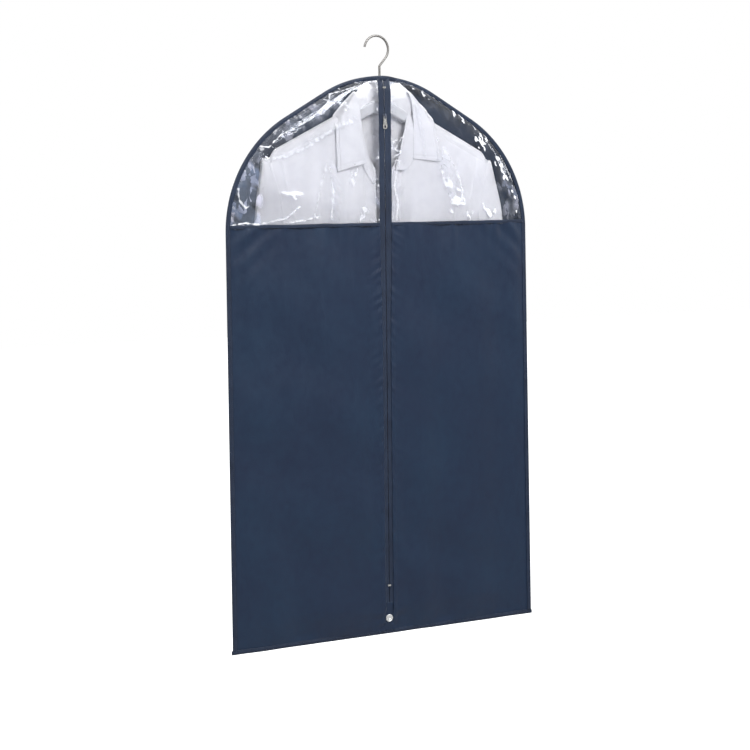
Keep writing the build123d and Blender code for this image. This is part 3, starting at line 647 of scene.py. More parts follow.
def window_trim(side):
    """Narrow strip sewn over the window seam: a flat band with rounded edges, carried along the seam."""
    x = side * np.linspace(TAPE_EDGE - MM, half_width(SEAM_Z, BINDING_WIDE - MM), 150)
    wander = 0.35 * MM * waves(x, 0 * x, 95 + side, 6, 0.12, 0.03)
    path = surface_path(side, x, SEAM_Z + wander, 0.35 * MM)
    turn = np.linspace(0, 2 * pi, 16, endpoint=False)
    flat = np.sign(np.cos(turn)) * np.abs(np.cos(turn)) ** 0.5
    profile = np.stack([TRIM_HIGH / 2 * flat, 0.55 * MM * np.sin(turn)], -1)
    return swept("window_strip_" + NAMES[side], put_down(path), profile, (0, 0, 1))


def zip_tape(side):
    """One woven tape: flat beside the coil, then forward to a slightly uneven outer edge."""
    z_values = np.linspace(ZIP_FOOT - 3 * MM, HEIGHT - 5 * MM, 340)
    share = np.linspace(0, 1, 14)
    z = np.repeat(z_values[:, None], share.size, 1)
    ax = TAPE_INNER + (TAPE_EDGE - TAPE_INNER) * share[None, :]
    ax = ax + 0.25 * MM * waves(z, 0 * z, 97 + side, 6, 0.08, 0.02) * share[None, :] ** 2
    ripple = 0.35 * MM * waves(z, ax, 99 + side, 6, 0.05, 0.02) * share[None, :] ** 3
    y = zip_line(z) - tape_lift(ax) - ripple - 0.1 * MM
    return laid("zip_cloth_" + NAMES[side], side * ax, y, z, 0.4 * MM, side < 0)


def zip_coil(side):
    """One coil behind its tape: a wire carried round a flattened helix, one turn every 1.6 mm."""
    pitch, wire = 1.6 * MM, 0.30 * MM
    low, high = ZIP_FOOT + 33 * MM, ZIP_TOP - MM
    turns = (high - low) / pitch
    turn = np.linspace(0, turns * 2 * pi, int(turns * 9))
    z = low + pitch * turn / (2 * pi) + (pitch / 2 if side > 0 else 0)
    ax = TAPE_INNER + 0.75 * MM + 1.35 * MM * np.cos(turn)
    y = zip_line(z) + 1.15 * MM + 0.55 * MM * np.sin(turn)
    path = put_down(np.stack([side * ax, y, z], -1))
    ring = np.linspace(0, 2 * pi, 5, endpoint=False)
    section = wire * np.stack([np.cos(ring), np.sin(ring)], -1)
    return swept("zip_teeth_" + NAMES[side], path, section, (0, 0, 1), caps=False)


def placket(z_low, z_high, half, lift, name):
    """Strip below the zip: a flat band with pressed edges that follows the fall of the front to the hem."""
    z_values = np.linspace(z_low, z_high, 40)
    share = np.linspace(-1, 1, 33)
    z = np.repeat(z_values[:, None], share.size, 1)
    x = half * share[None, :] + 0.25 * MM * waves(z, 0 * z, 103, 4, 0.05, 0.02)
    groove = bell(x, -1.2 * MM, 0.8 * MM) * smooth(RIVET_Z + 6 * MM, RIVET_Z + 12 * MM, z)
    press = 0.3 * MM * (1 - share[None, :] ** 6) - 0.45 * MM * groove
    y = -placket_depth(z) - lift - press
    return laid(name, x, y, z, 0.4 * MM, True)


def placket_depth(z):
    """Depth of the placket's mid plane: straight from the hem binding to the zip's foot."""
    low = 1.2 * MM
    return low + (-ZIP_FOOT_Y - low) * np.clip((z - HEM_TOP) / (ZIP_FOOT - HEM_TOP), 0, 1.2)


def stitches(name, path, out, pitch=3.4 * MM, length=2.3 * MM, thick=0.22 * MM):
    """A row of stitches on a path: short rounded bars every pitch, sunk half into the cloth. out is the
    direction that the cloth faces, one for the path or one for each of its points."""
    run = run_along(path)
    stops = np.arange(pitch, run[-1] - pitch, pitch)
    centre = np.stack([np.interp(stops, run, path[:, k]) for k in range(3)], -1)
    ahead = np.stack([np.interp(stops + MM, run, path[:, k]) for k in range(3)], -1) - centre
    ahead = ahead / np.linalg.norm(ahead, axis=1, keepdims=True)
    faces_out = np.broadcast_to(np.asarray(out, float), path.shape)
    up = np.stack([np.interp(stops, run, faces_out[:, k]) for k in range(3)], -1)
    across = np.cross(ahead, up)
    across = across / np.linalg.norm(across, axis=1, keepdims=True)
    up = np.cross(across, ahead)
    ring = np.linspace(0, 2 * pi, 6, endpoint=False)
    station = np.array([-0.5, -0.38, 0.38, 0.5]) * length
    size = np.array([0.45, 1.0, 1.0, 0.45]) * thick
    ring = ring[None, None, :, None]
    round_bar = np.cos(ring) * across[:, None, None] + np.sin(ring) * up[:, None, None]
    bars = centre[:, None, None] + station[None, :, None, None] * ahead[:, None, None]
    bars = bars + size[None, :, None, None] * round_bar
    one = grid_faces(4, 6, loop_columns=True)[:, ::-1]
    per_bar = one.max() + 1
    faces = (one[None] + (np.arange(len(stops)) * per_bar)[:, None, None]).reshape(-1, 4)
    return add_mesh(name, put_down(bars), faces)


def rivet_head():
    """Snap head turned from a profile: flat flange, raised rim, a shallow dish and a centre dimple."""
    centre = (rivet_low + rivet_high) / 2
    radius = (rivet_high.x - rivet_low.x) / 2
    front, behind = rivet_low.y, rivet_high.y
    tall = behind - front
    shares = np.array(
        [
            (0.0, 0.62), (0.10, 0.60), (0.20, 0.66), (0.26, 0.80), (0.34, 0.86), (0.46, 0.80), (0.60, 0.74),
            (0.70, 0.80), (0.78, 0.96), (0.86, 1.0), (0.93, 0.93),
            (0.98, 0.70), (1.0, 0.45), (1.0, 0.0), (0.0, 0.0),
        ]
    )
    turn = np.linspace(0, 2 * pi, 48, endpoint=False)
    r, out = radius * shares[:, 0] + 1e-6, tall * shares[:, 1]
    x = centre.x + r[:, None] * np.cos(turn)
    z = centre.z + r[:, None] * np.sin(turn)
    y = behind - out[:, None] + 0 * turn[None, :]
    return add_mesh("snap_head", np.stack([x, y, z], -1), grid_faces(len(r), len(turn), loop_columns=True))


# ---- The shirt that hangs in the bag ----


def rail(points, count, soften=2):
    """A curve through points given in millimetres as (x, z): evenly spaced places along the
    straight runs, then averaged with their neighbours soften times so that the corners round off."""
    corners = np.array(points, float) * MM
    run = run_along(corners)
    even = np.linspace(0, run[-1], count)
    curve = np.stack([np.interp(even, run, corners[:, k]) for k in (0, 1)], -1)
    for _ in range(soften):
        curve[1:-1] = 0.25 * curve[:-2] + 0.5 * curve[1:-1] + 0.25 * curve[2:]
    return curve


def distance_to(x, z, points):
    """Distance in metres from places (x, z) to the line through points in millimetres."""
    corners = np.array(points, float) * MM
    nearest = np.full(np.broadcast(x, z).shape, 10.0)
    for start, end in zip(corners[:-1], corners[1:]):
        way = end - start
        share = np.clip(((x - start[0]) * way[0] + (z - start[1]) * way[1]) / np.dot(way, way), 0, 1)
        nearest = np.minimum(nearest, np.hypot(x - start[0] - share * way[0], z - start[1] - share * way[1]))
    return nearest


def shirt_depth(ax, z):
    """How far the shirt's front stands forward: a share of the bag's own fullness, less below the windows."""
    bag = front_depth(1, np.abs(ax), z, folds=False)
    share = 0.38 + 0.19 * smooth(SEAM_Z - 0.16, SEAM_Z - 0.01, z)
    return np.maximum(share * bag, 0.2 * MM)


def shoulder_z(side, ax):
    """Height of the shirt's shoulder line at ax from the middle, rounded down at its end."""
    slope = 0.50 if side < 0 else 0.527
    start = 0.930 if side < 0 else 0.9285
    return start - slope * (ax - 0.090) - 0.020 * smooth(0.203, 0.226, ax)


SHIRT_FOOT = 0.24
SLEEVE_FOOT = 0.30
ARM_FOLDS = {
    -1: [[(-194, 850), (-184, 795), (-170, 745)], [(-207, 813), (-195, 745)], [(-120, 812), (-137, 745)]],
    1: [[(190, 853), (170, 745)], [(196, 824), (210, 780), (208, 745)], [(150, 850), (142, 745)]],
}
YOKE_SEAM = {-1: [(-219, 851), (-93, 909)], 1: [(106, 899), (214, 846)]}


def armhole(z):
    """How far out the armhole seam lies at height z."""
    return 0.192 + 0.022 * smooth(0.757, 0.862, z)


def shirt_folds(side, x, z):
    """Soft upright folds that grow downwards from the collar, slanting ones towards the armhole, and the
    pressed pleats that run down from the shoulder."""
    seed = 131 if side < 0 else 151
    ax = np.abs(x)
    down = smooth(0.90, 0.78, z)
    near_collar = bell(ax, 0.060, 0.045)
    upright = waves(x, 0.10 * z, seed, 8, 0.055, 0.026)
    slant = waves(x, z, seed + 1, 6, 0.12, 0.05, lean=0.9 * side)
    share = 0.12 + 0.88 * down * (0.35 + 0.65 * near_collar)
    folds = 1.7 * MM * upright * share + 0.9 * MM * slant
    for line in ARM_FOLDS[side]:
        folds = folds + 1.5 * MM * np.exp(-distance_to(x, z, line) / (3.2 * MM))
    folds = folds - 0.45 * MM * bell(distance_to(x, z, YOKE_SEAM[side]), 0, 0.9 * MM)
    inside = 0.3 + 0.7 * smooth(SEAM_Z - 0.12, SEAM_Z, z)
    return folds * inside * smooth(0, 12 * MM, shoulder_z(side, ax) - z)


def shirt_front(side):
    """One front half: rows of height, columns from the front edge out to the armhole. It ends at the collar
    and at the shoulder, where it turns over as a quarter circle."""
    share = np.linspace(0, 1, 140)
    rise = np.linspace(0, 1, 210)
    edge, widest = 16 * MM, 0.218
    ax = edge + (widest - edge) * share[None, :] + 0 * rise[:, None]
    neck = 0.836 + np.clip(ax - edge, 0, 60 * MM) * 1.9
    top = np.minimum(neck, shoulder_z(side, ax))
    z = SHIRT_FOOT + (top - SHIRT_FOOT) * (1 - (1 - rise[:, None]) ** 1.6)
    ax = ax * (armhole(z) + 4 * MM) / widest
    x = side * ax
    round_over = quarter((shoulder_z(side, ax) - z) / (14 * MM))
    placket_seam = 0.7 * MM * bell(ax - edge, 22 * MM, 1.2 * MM)
    y = -(shirt_depth(ax, z) + shirt_folds(side, x, z)) * round_over - placket_seam
    return laid("shirt_front_" + NAMES[side], x, y, z, COTTON_THICK, side < 0)


def shirt_sleeve(side):
    """One sleeve, hanging flat beside the body: from the armhole seam out to its own fold and round to the
    back, with long folds down it."""
    across = np.linspace(0, 1, 80)
    rise = np.linspace(0, 1, 170)
    shoulder = 0.858 if side < 0 else 0.853
    z = SLEEVE_FOOT + (shoulder - SLEEVE_FOOT) * rise[:, None] + 0 * across[None, :]
    inner = armhole(z)
    low_edge = 0.2425 if side < 0 else 0.2475
    high_edge = 0.2265 if side < 0 else 0.2215
    outer = high_edge + (low_edge - high_edge) * smooth(0.875, 0.735, z) ** 0.85
    turn = across[None, :] * pi * 0.74
    ax = inner + (outer - inner) * np.sin(np.clip(turn, 0, pi / 2)) ** 0.85
    depth = shirt_depth(np.minimum(ax, 0.236), z) + 0.9 * MM
    seed = 171 if side < 0 else 191
    fold = 1.3 * MM * waves(ax, 0.12 * z, seed, 7, 0.045, 0.02)
    fold = fold + 0.7 * MM * waves(ax, z, seed + 1, 6, 0.08, 0.03, lean=0.5)
    closing = quarter((shoulder - z) / (12 * MM))
    inside = 0.3 + 0.7 * smooth(SEAM_Z - 0.12, SEAM_Z, z)
    flat = np.sign(np.cos(turn)) * np.abs(np.cos(turn)) ** 0.4
    fold = fold * np.sin(np.clip(turn * 1.15, 0, pi)) * inside
    y = (-depth * flat - fold) * closing + 0.4 * MM
    behind = np.minimum(0.55 * back_depth(ax, z), back_depth(ax, z) - 3.2 * MM)
    y = np.clip(y, -0.85 * front_depth(side, ax, z, folds=False), behind)
    return laid("shirt_sleeve_" + NAMES[side], side * ax, y, z, COTTON_THICK, side < 0)


def shirt_back():
    """The back and yoke, behind the hanger, seen through the neck."""
    share = np.linspace(-1, 1, 120)
    rise = np.linspace(0, 1, 110)
    x = 0.215 * share[None, :] + 0 * rise[:, None]
    ax = np.abs(x)
    top = np.minimum(np.minimum(shoulder_z(-1, ax), shoulder_z(1, ax)), 0.966)
    z = SHIRT_FOOT + (top - SHIRT_FOOT) * rise[:, None]
    round_over = 1 - smooth(0.05, 0.09, ax) * (1 - quarter((top - z) / (14 * MM)))
    inside = np.minimum(7.0 * MM, 0.62 * back_depth(x, z))
    unevenness = 1 + 0.10 * waves(x, 0.2 * z, 211, 7, 0.08, 0.03)
    y = inside * round_over * unevenness - 0.8 * MM * (z < 0.60)
    return laid("shirt_back", x, y, z, COTTON_THICK, False)


def between(name, first, second, depth, thick, flip, columns=50):
    """A ruled patch between two rails of the same count; depth(x, z, u, v) gives how far it stands forward,
    with u from the first rail to the second and v along them."""
    u = np.linspace(0, 1, columns)[None, :]
    v = np.linspace(0, 1, len(first))[:, None]
    flat = (1 - u)[..., None] * first[:, None] + u[..., None] * second[:, None]
    x, z = flat[..., 0], flat[..., 1]
    y = -depth(x, z, u, v)
    return laid(name, x, y, z, thick, flip)


COLLAR_EDGES = {
    -1: (
        [(-51, 971), (-46, 935), (-41, 900), (-33, 848)],
        [(-53, 972), (-73, 954), (-94, 931), (-93, 880), (-91, 833)],
    ),
    1: (
        [(50, 974), (56, 955), (59, 921), (58, 855)],
        [(52, 975), (90, 943), (99, 928), (106, 890), (113, 850)],
    ),
}


def collar_leaf(side):
    """One collar leaf: a patch between its fold line at the neck and its outer edge, which rolls back over
    the shoulder above and lies flat on the front below, with a sewn ridge along its free edges."""
    inner, outer = (rail(edge, 90, 3) for edge in COLLAR_EDGES[side])

    def depth(x, z, u, v):
        lying = 0.70 * front_depth(side, np.abs(x), z, folds=False)
        back_over = (1 - smooth(0.38, 0.52, v)) * smooth(0.70, 1.0, u)
        top_roll = quarter(v / 0.10)
        swell = 0.7 * MM * np.sin(pi * v) * (1 - 0.5 * u)
        swell = swell + 0.4 * MM * waves(x, z, 231 + side, 6, 0.08, 0.035, lean=0.8)
        ridge = 0.30 * MM * (bell(1 - v, 0.055, 0.012) + bell(1 - u, 0.10, 0.02) + bell(u, 0.02, 0.04))
        return (lying + swell) * (0.35 + 0.65 * top_roll) * (1 - 0.85 * back_over) - ridge

    return between("shirt_collar_" + NAMES[side], inner, outer, depth, COLLAR_THICK, side < 0, 60)


def collar_back():
    """The inside of the collar behind the neck: a band between its top fold and the neck seam."""
    top_points = [(-55, 960), (-45, 976), (-27, 990), (0, 995), (26, 994), (38, 989), (52, 976), (64, 956)]
    top = rail(top_points, 110, 4)
    foot = rail([(-46, 924), (-40, 934), (-10, 953), (0, 955), (17, 944), (52, 922)], 110, 3)

    def depth(x, z, u, v):
        from_middle = np.abs(x) / (55 * MM)
        bow = -3.5 * MM + 11.0 * MM * from_middle**2
        swell = 1.2 * MM * np.sin(pi * u)
        return bow + swell + 0.3 * MM * bell(u, 0.08, 0.03) + 0.3 * MM * bell(u, 0.9, 0.03)

    return between("shirt_collar_back", top, foot, depth, COLLAR_THICK, False, 34)


STAND_EDGES = {
    -1: (
        [(-50, 938), (-42, 900), (-33, 872), (-26, 842), (-18, 812)],
        [(-60, 930), (-52, 890), (-44, 860), (-38, 835), (-22, 812)],
    ),
    1: (
        [(49, 930), (36, 888), (31, 864), (24, 846), (22, 836)],
        [(66, 940), (63, 900), (60, 868), (56, 848), (42, 835)],
    ),
}


def collar_stand(side):
    """The front end of the collar's stand: a strip beside the neck opening with a rounded lower corner."""
    inner, outer = (rail(edge, 70, 4) for edge in STAND_EDGES[side])

    def depth(x, z, u, v):
        lying = 0.66 * front_depth(side, np.abs(x), z, folds=False)
        swell = 0.6 * MM * np.sin(pi * u) - 0.25 * MM * bell(u, 0.1, 0.04)
        return lying * (0.55 + 0.45 * smooth(0, 0.3, v)) + swell

    return between("shirt_stand_" + NAMES[side], inner, outer, depth, COLLAR_THICK, side < 0, 24)


# ---- Shader tools and node groups ----


def colour(red, green, blue):
    """A linear colour from display values of 0 to 255."""
    shares = np.array([red, green, blue]) / 255
    linear = np.where(shares <= 0.04045, shares / 12.92, ((shares + 0.055) / 1.055) ** 2.4)
    return (*linear.tolist(), 1.0)


class Board:
    """Adds nodes to one node tree. Inputs are given as a dictionary of values or of other nodes' outputs."""

    def __init__(self, tree):
        self.tree = tree
        tree.nodes.clear()

    def add(self, kind, inputs=None, **settings):
        node = self.tree.nodes.new("ShaderNode" + kind)
        for key, value in settings.items():
            setattr(node, key, value)
        for key, value in (inputs or {}).items():
            socket = node.inputs[key]
            if isinstance(value, bpy.types.NodeSocket):
                self.tree.links.new(value, socket)
            else:
                socket.default_value = value
        return node

    def link(self, value, socket):
        self.tree.links.new(value, socket)

    def math(self, operation, first, second=0.0, third=0.0, clamp=False):
        inputs = {0: first, 1: second, 2: third}
        return self.add("Math", inputs, operation=operation, use_clamp=clamp).outputs[0]

    def scaled(self, place, shares):
        inputs = {0: place, 1: shares}
        return self.add("VectorMath", inputs, operation="MULTIPLY").outputs[0]

    def mix(self, share, first, second):
        node = self.add("Mix", {0: share, 6: first, 7: second}, data_type="RGBA")
        return node.outputs[2]

    def span(self, value, low, high, to_low=0.0, to_high=1.0):
        inputs = {"Value": value, "From Min": low, "From Max": high, "To Min": to_low, "To Max": to_high}
        return self.add("MapRange", inputs).outputs[0]


def new_group(name, inputs, outputs):
    """An empty node group with float, colour or vector inputs and outputs, as (name, kind, default)."""
    tree = bpy.data.node_groups.new(name, "ShaderNodeTree")
    board = Board(tree)
    kinds = {"value": "NodeSocketFloat", "colour": "NodeSocketColor", "vector": "NodeSocketVector"}
    for label, kind, default in inputs:
        socket = tree.interface.new_socket(label, in_out="INPUT", socket_type=kinds[kind])
        if default is not None:
            socket.default_value = default
    for label, kind in outputs:
        tree.interface.new_socket(label, in_out="OUTPUT", socket_type=kinds[kind])
    enter = tree.nodes.new("NodeGroupInput")
    leave = tree.nodes.new("NodeGroupOutput")
    return board, enter.outputs, leave.inputs


def make_weave():
    """Plain weave: two sets of round threads, each over the other by turns. Height is 0 to 1."""
    inputs = [("Place", "vector", None), ("Threads", "value", 2500.0)]
    board, enter, leave = new_group("weave", inputs, [("Height", "value"), ("Slub", "value")])
    split = board.add("SeparateXYZ", {0: enter["Place"]}).outputs
    warp = board.math("MULTIPLY", split[0], enter["Threads"])
    weft = board.math("MULTIPLY", split[1], enter["Threads"])
    warp_round = board.math("ABSOLUTE", board.math("SINE", board.math("MULTIPLY", warp, pi)))
    weft_round = board.math("ABSOLUTE", board.math("SINE", board.math("MULTIPLY", weft, pi)))
    square = board.math("ADD", board.math("FLOOR", warp), board.math("FLOOR", weft))
    over = board.math("PINGPONG", square, 1.0)
    under = board.math("SUBTRACT", 1.0, over)
    high_warp = board.math("MULTIPLY", warp_round, board.math("MULTIPLY_ADD", over, 0.6, 0.4))
    high_weft = board.math("MULTIPLY", weft_round, board.math("MULTIPLY_ADD", under, 0.6, 0.4))
    height = board.math("MAXIMUM", high_warp, high_weft)
    stretched = board.scaled(enter["Place"], (1.0, 0.03, 1.0))
    slub = board.add("TexNoise", {"Vector": stretched, "Scale": 900.0, "Detail": 2.0}).outputs[0]
    board.link(height, leave["Height"])
    board.link(slub, leave["Slub"])
    return board.tree


def make_unevenness():
    """Changes over a surface, 0 to 1: Broad in large soft patches, Fine in small ones, and Both."""
    inputs = [("Place", "vector", None), ("Broad size", "value", 0.15), ("Fine size", "value", 0.01)]
    outputs = [("Broad", "value"), ("Fine", "value"), ("Both", "value")]
    board, enter, leave = new_group("unevenness", inputs, outputs)
    broad_scale = board.math("DIVIDE", 1.0, enter["Broad size"])
    fine_scale = board.math("DIVIDE", 1.0, enter["Fine size"])
    broad = board.add("TexNoise", {"Vector": enter["Place"], "Scale": broad_scale, "Detail": 2.0}).outputs[0]
    fine = board.add("TexNoise", {"Vector": enter["Place"], "Scale": fine_scale, "Detail": 3.0}).outputs[0]
    broad = board.span(broad, 0.30, 0.70)
    fine = board.span(fine, 0.30, 0.70)
    both = board.math("ADD", board.math("MULTIPLY", broad, 0.6), board.math("MULTIPLY", fine, 0.4))
    for value, label in ((broad, "Broad"), (fine, "Fine"), (both, "Both")):
        board.link(value, leave[label])
    return board.tree


def make_rubbing():
    """Handling marks on plate: thin short scratches and small dull spots, 0 clean to 1 marked."""
    inputs = [("Place", "vector", None), ("Size", "value", 0.004), ("Amount", "value", 0.5)]
    board, enter, leave = new_group("rubbing", inputs, [("Mask", "value")])
    scale = board.math("DIVIDE", 1.0, enter["Size"])
    thin = board.scaled(enter["Place"], (1.0, 1.0, 0.12))
    grain = {"Vector": thin, "Scale": scale, "Detail": 4.0, "Roughness": 0.7}
    lines = board.add("TexNoise", grain).outputs[0]
    spots = board.add("TexVoronoi", {"Vector": enter["Place"], "Scale": scale}).outputs["Distance"]
    marks = board.math("MAXIMUM", board.span(lines, 0.56, 0.72), board.span(spots, 0.14, 0.05))
    board.link(board.math("MULTIPLY", marks, enter["Amount"]), leave["Mask"])
    return board.tree


WEAVE = make_weave()
UNEVEN = make_unevenness()
RUBBING = make_rubbing()


def new_material(name):
    """A material with an empty board, a Principled shader and the output."""
    material = bpy.data.materials.new(name)
    material.use_nodes = True
    board = Board(material.node_tree)
    shader = board.add("BsdfPrincipled")
    out = board.add("OutputMaterial")
    board.link(shader.outputs[0], out.inputs[0])
    place = board.add("TexCoord").outputs["Object"]
    return material, board, shader, place


def group_node(board, tree, inputs):
    """Puts a node group into a material with its own input values."""
    return board.add("Group", inputs, node_tree=tree).outputs


def set_shader(shader, **values):
    """Sets sockets of a shader by name, with _ for spaces."""
    for key, value in values.items():
        shader.inputs[key.replace("_", " ")].default_value = value


def cloth_material(
    name, dark, light, threads, roughness, sheen, weave_depth, broad=0.16, crease=0.25, gap_shade=0.35
):
    """Woven cloth: plain weave bump, slubs, slow and fine changes of colour, painted shade where the weave
    lies low, and soft small creases.
    """
    material, board, shader, place = new_material(name)
    uv = board.add("UVMap", uv_map="cloth").outputs[0]
    weave = group_node(board, WEAVE, {"Place": uv, "Threads": threads})
    uneven = group_node(board, UNEVEN, {"Place": place, "Broad size": broad, "Fine size": 0.012})
    slub = board.math("MULTIPLY", board.math("SUBTRACT", weave["Slub"], 0.5), 0.5)
    share = board.math("ADD", uneven["Both"], slub, clamp=True)
    # painted shade: the base colour is darkened between the threads, where the weave lies low
    thread_shade = board.span(weave["Height"], 0.0, 1.0, 1.0 - gap_shade, 1.0)
    tint = board.mix(share, dark, light)
    shaded = board.add("VectorMath", {0: tint, 3: 1.0}, operation="SCALE")
    board.link(thread_shade, shaded.inputs[3])
    board.link(shaded.outputs[0], shader.inputs["Base Color"])
    rough = board.span(uneven["Fine"], 0.0, 1.0, roughness - 0.05, roughness + 0.06)
    board.link(rough, shader.inputs["Roughness"])
    wrinkles = {"Vector": place, "Scale": 55.0, "Detail": 3.0, "Distortion": 0.6}
    creases = board.add("TexNoise", wrinkles).outputs[0]
    soft = board.add("Bump", {"Strength": crease, "Distance": 2.0 * MM, "Height": creases}).outputs[0]
    bump = {"Strength": weave_depth, "Distance": 0.10 * MM, "Height": weave["Height"], "Normal": soft}
    board.link(board.add("Bump", bump).outputs[0], shader.inputs["Normal"])
    set_shader(shader, Sheen_Weight=sheen, Sheen_Roughness=0.35, Specular_IOR_Level=0.30)
    return material


def film_material():
    """Clear soft film: reflects by angle and lets the rest through. Its creases scatter white, partly as
    crease whitening and partly as painted highlight and painted glints; where it is clouded it breaks up
    into flat facets, some pale bluish and some clear, partly haze and partly painted fill light over the
    shaded inside of the bag, and its shine is blurred."""
    material, board, shader, place = new_material("clear_film")
    uneven = group_node(board, UNEVEN, {"Place": place, "Broad size": 0.07, "Fine size": 0.006})
    crease = board.add("Attribute", attribute_name="crease").outputs["Fac"]
    cloud_and_fill_light = board.add("Attribute", attribute_name="cloud_and_fill_light").outputs["Fac"]
    soft_folds = {"Vector": place, "Scale": 42.0, "Detail": 4.0, "Distortion": 1.4}
    folds = board.add("TexNoise", soft_folds).outputs[0]
    cells = board.add("TexVoronoi", {"Vector": place, "Scale": 75.0}, feature="DISTANCE_TO_EDGE").outputs[0]
    fine = board.add("Bump", {"Strength": 0.30, "Distance": 1.2 * MM, "Height": folds}).outputs[0]
    cell_bump = {"Strength": 0.10, "Distance": 0.8 * MM, "Height": cells, "Normal": fine}
    bump = board.add("Bump", cell_bump).outputs[0]
    board.link(bump, shader.inputs["Normal"])
    pulled = board.scaled(place, (1.0, 0.0, 0.42))
    noise = board.add("TexNoise", {"Vector": place, "Scale": 110.0, "Detail": 2.0}).outputs["Color"]
    shake = {0: noise, 1: (0.008, 0.0, 0.005), 2: pulled}
    shaken = board.add("VectorMath", shake, operation="MULTIPLY_ADD").outputs[0]
    facet = board.add("TexVoronoi", {"Vector": shaken, "Scale": 120.0}).outputs["Color"]
    chosen = board.add("SeparateXYZ", {0: facet}).outputs
    how_pale = board.span(chosen[1], 0.0, 1.0, 0.35, 1.0)
    pale = board.math("MULTIPLY", board.span(chosen[0], 0.38, 0.62), how_pale)
    # partly painted fill light: clouded places turn into pale bluish facets over the shaded inside of the bag
    clouded = board.math("MULTIPLY", cloud_and_fill_light, board.math("MULTIPLY_ADD", pale, 0.44, 0.14))
    # painted highlight and painted glints: where the crease attribute is high the film turns diffuse white
    white = board.math("ADD", board.math("MULTIPLY", crease, 0.85), clouded, clamp=True)
    haze = board.math("ADD", board.span(uneven["Both"], 0.0, 1.0, 0.015, 0.05), white, clamp=True)
    angle = board.add("Fresnel", {"IOR": 1.50, "Normal": bump}).outputs[0]
    shine = board.span(cloud_and_fill_light, 0.0, 1.0, 0.9, 0.35)
    share = board.math("MULTIPLY_ADD", angle, shine, haze, clamp=True)
    board.link(share, shader.inputs["Alpha"])
    board.link(board.span(white, 0.02, 0.25, 1.0, 0.0), shader.inputs["Metallic"])
    rough = board.math("MULTIPLY_ADD", cloud_and_fill_light, 0.25, board.span(uneven["Fine"], 0.0, 1.0, 0.05, 0.12))
    board.link(rough, shader.inputs["Roughness"])
    clear_tone = (0.93, 0.95, 1.0, 1)
    # pale bluish tone of the clouded facets, partly haze and partly painted fill light
    pale_blue = board.mix(pale, colour(120, 150, 190), colour(214, 214, 232))
    tint = board.mix(board.span(crease, 0.0, 0.25), pale_blue, clear_tone)
    mirror = board.mix(board.span(white, 0.02, 0.25), clear_tone, tint)
    board.link(mirror, shader.inputs["Base Color"])
    return material


def metal_material(name, tone, roughness, marks, brushed=0.0):
    """Nickel plate: slow changes of tone, light handling marks, and for drawn wire fine lines round it."""
    material, board, shader, place = new_material(name)
    uneven = group_node(board, UNEVEN, {"Place": place, "Broad size": 0.02, "Fine size": 0.0015})
    rub = group_node(board, RUBBING, {"Place": place, "Size": 0.003, "Amount": marks})
    dark = tuple(0.80 * part for part in tone[:3]) + (1.0,)
    tint = board.mix(uneven["Both"], dark, tone)
    board.link(board.mix(rub["Mask"], tint, dark), shader.inputs["Base Color"])
    plain = board.span(uneven["Fine"], 0, 1, roughness, roughness + 0.07)
    rough = board.math("MULTIPLY_ADD", rub["Mask"], 0.25, plain)
    board.link(rough, shader.inputs["Roughness"])
    thin = board.scaled(place, (1.0, 1.0, 14.0))
    lines = board.add("TexNoise", {"Vector": thin, "Scale": 700.0, "Detail": 3.0}).outputs[0]
    height = board.math("MULTIPLY_ADD", lines, 0.4 + brushed, rub["Mask"])
    bump = board.add("Bump", {"Strength": 0.12 + 0.2 * brushed, "Distance": 0.08 * MM, "Height": height})
    board.link(bump.outputs[0], shader.inputs["Normal"])
    set_shader(shader, Metallic=1.0)
    return material


def plastic_material(name, dark, light, roughness, grain):
    """Moulded plastic: fine spark grain, slow changes of colour and dull patches."""
    material, board, shader, place = new_material(name)
    uneven = group_node(board, UNEVEN, {"Place": place, "Broad size": 0.05, "Fine size": 0.002})
    board.link(board.mix(uneven["Both"], dark, light), shader.inputs["Base Color"])
    rough = board.span(uneven["Broad"], 0.0, 1.0, roughness - 0.05, roughness + 0.08)
    board.link(rough, shader.inputs["Roughness"])
    spark = board.add("TexNoise", {"Vector": place, "Scale": 1600.0, "Detail": 2.0}).outputs[0]
    bump = board.add("Bump", {"Strength": grain, "Distance": 0.1 * MM, "Height": spark})
    board.link(bump.outputs[0], shader.inputs["Normal"])
    return material


def floor_material():
    """Plain pale floor. It glows a little where the camera sees it, as an evenly lit studio floor does."""
    material, board, shader, place = new_material("studio_floor")
    uneven = group_node(board, UNEVEN, {"Place": place, "Broad size": 1.5, "Fine size": 0.2})
    tone = board.mix(uneven["Both"], (0.40, 0.40, 0.40, 1), (0.44, 0.44, 0.44, 1))
    board.link(tone, shader.inputs["Base Color"])
    seen = board.add("LightPath").outputs["Is Camera Ray"]
    board.link(seen, shader.inputs["Emission Strength"])
    set_shader(shader, Roughness=0.9, Emission_Color=(1, 1, 1, 1))
    return material


NAVY_DARK, NAVY_LIGHT = colour(27, 39, 63), colour(28, 48, 72)
TAPE_DARK, TAPE_LIGHT = colour(25, 35, 54), colour(35, 48, 70)

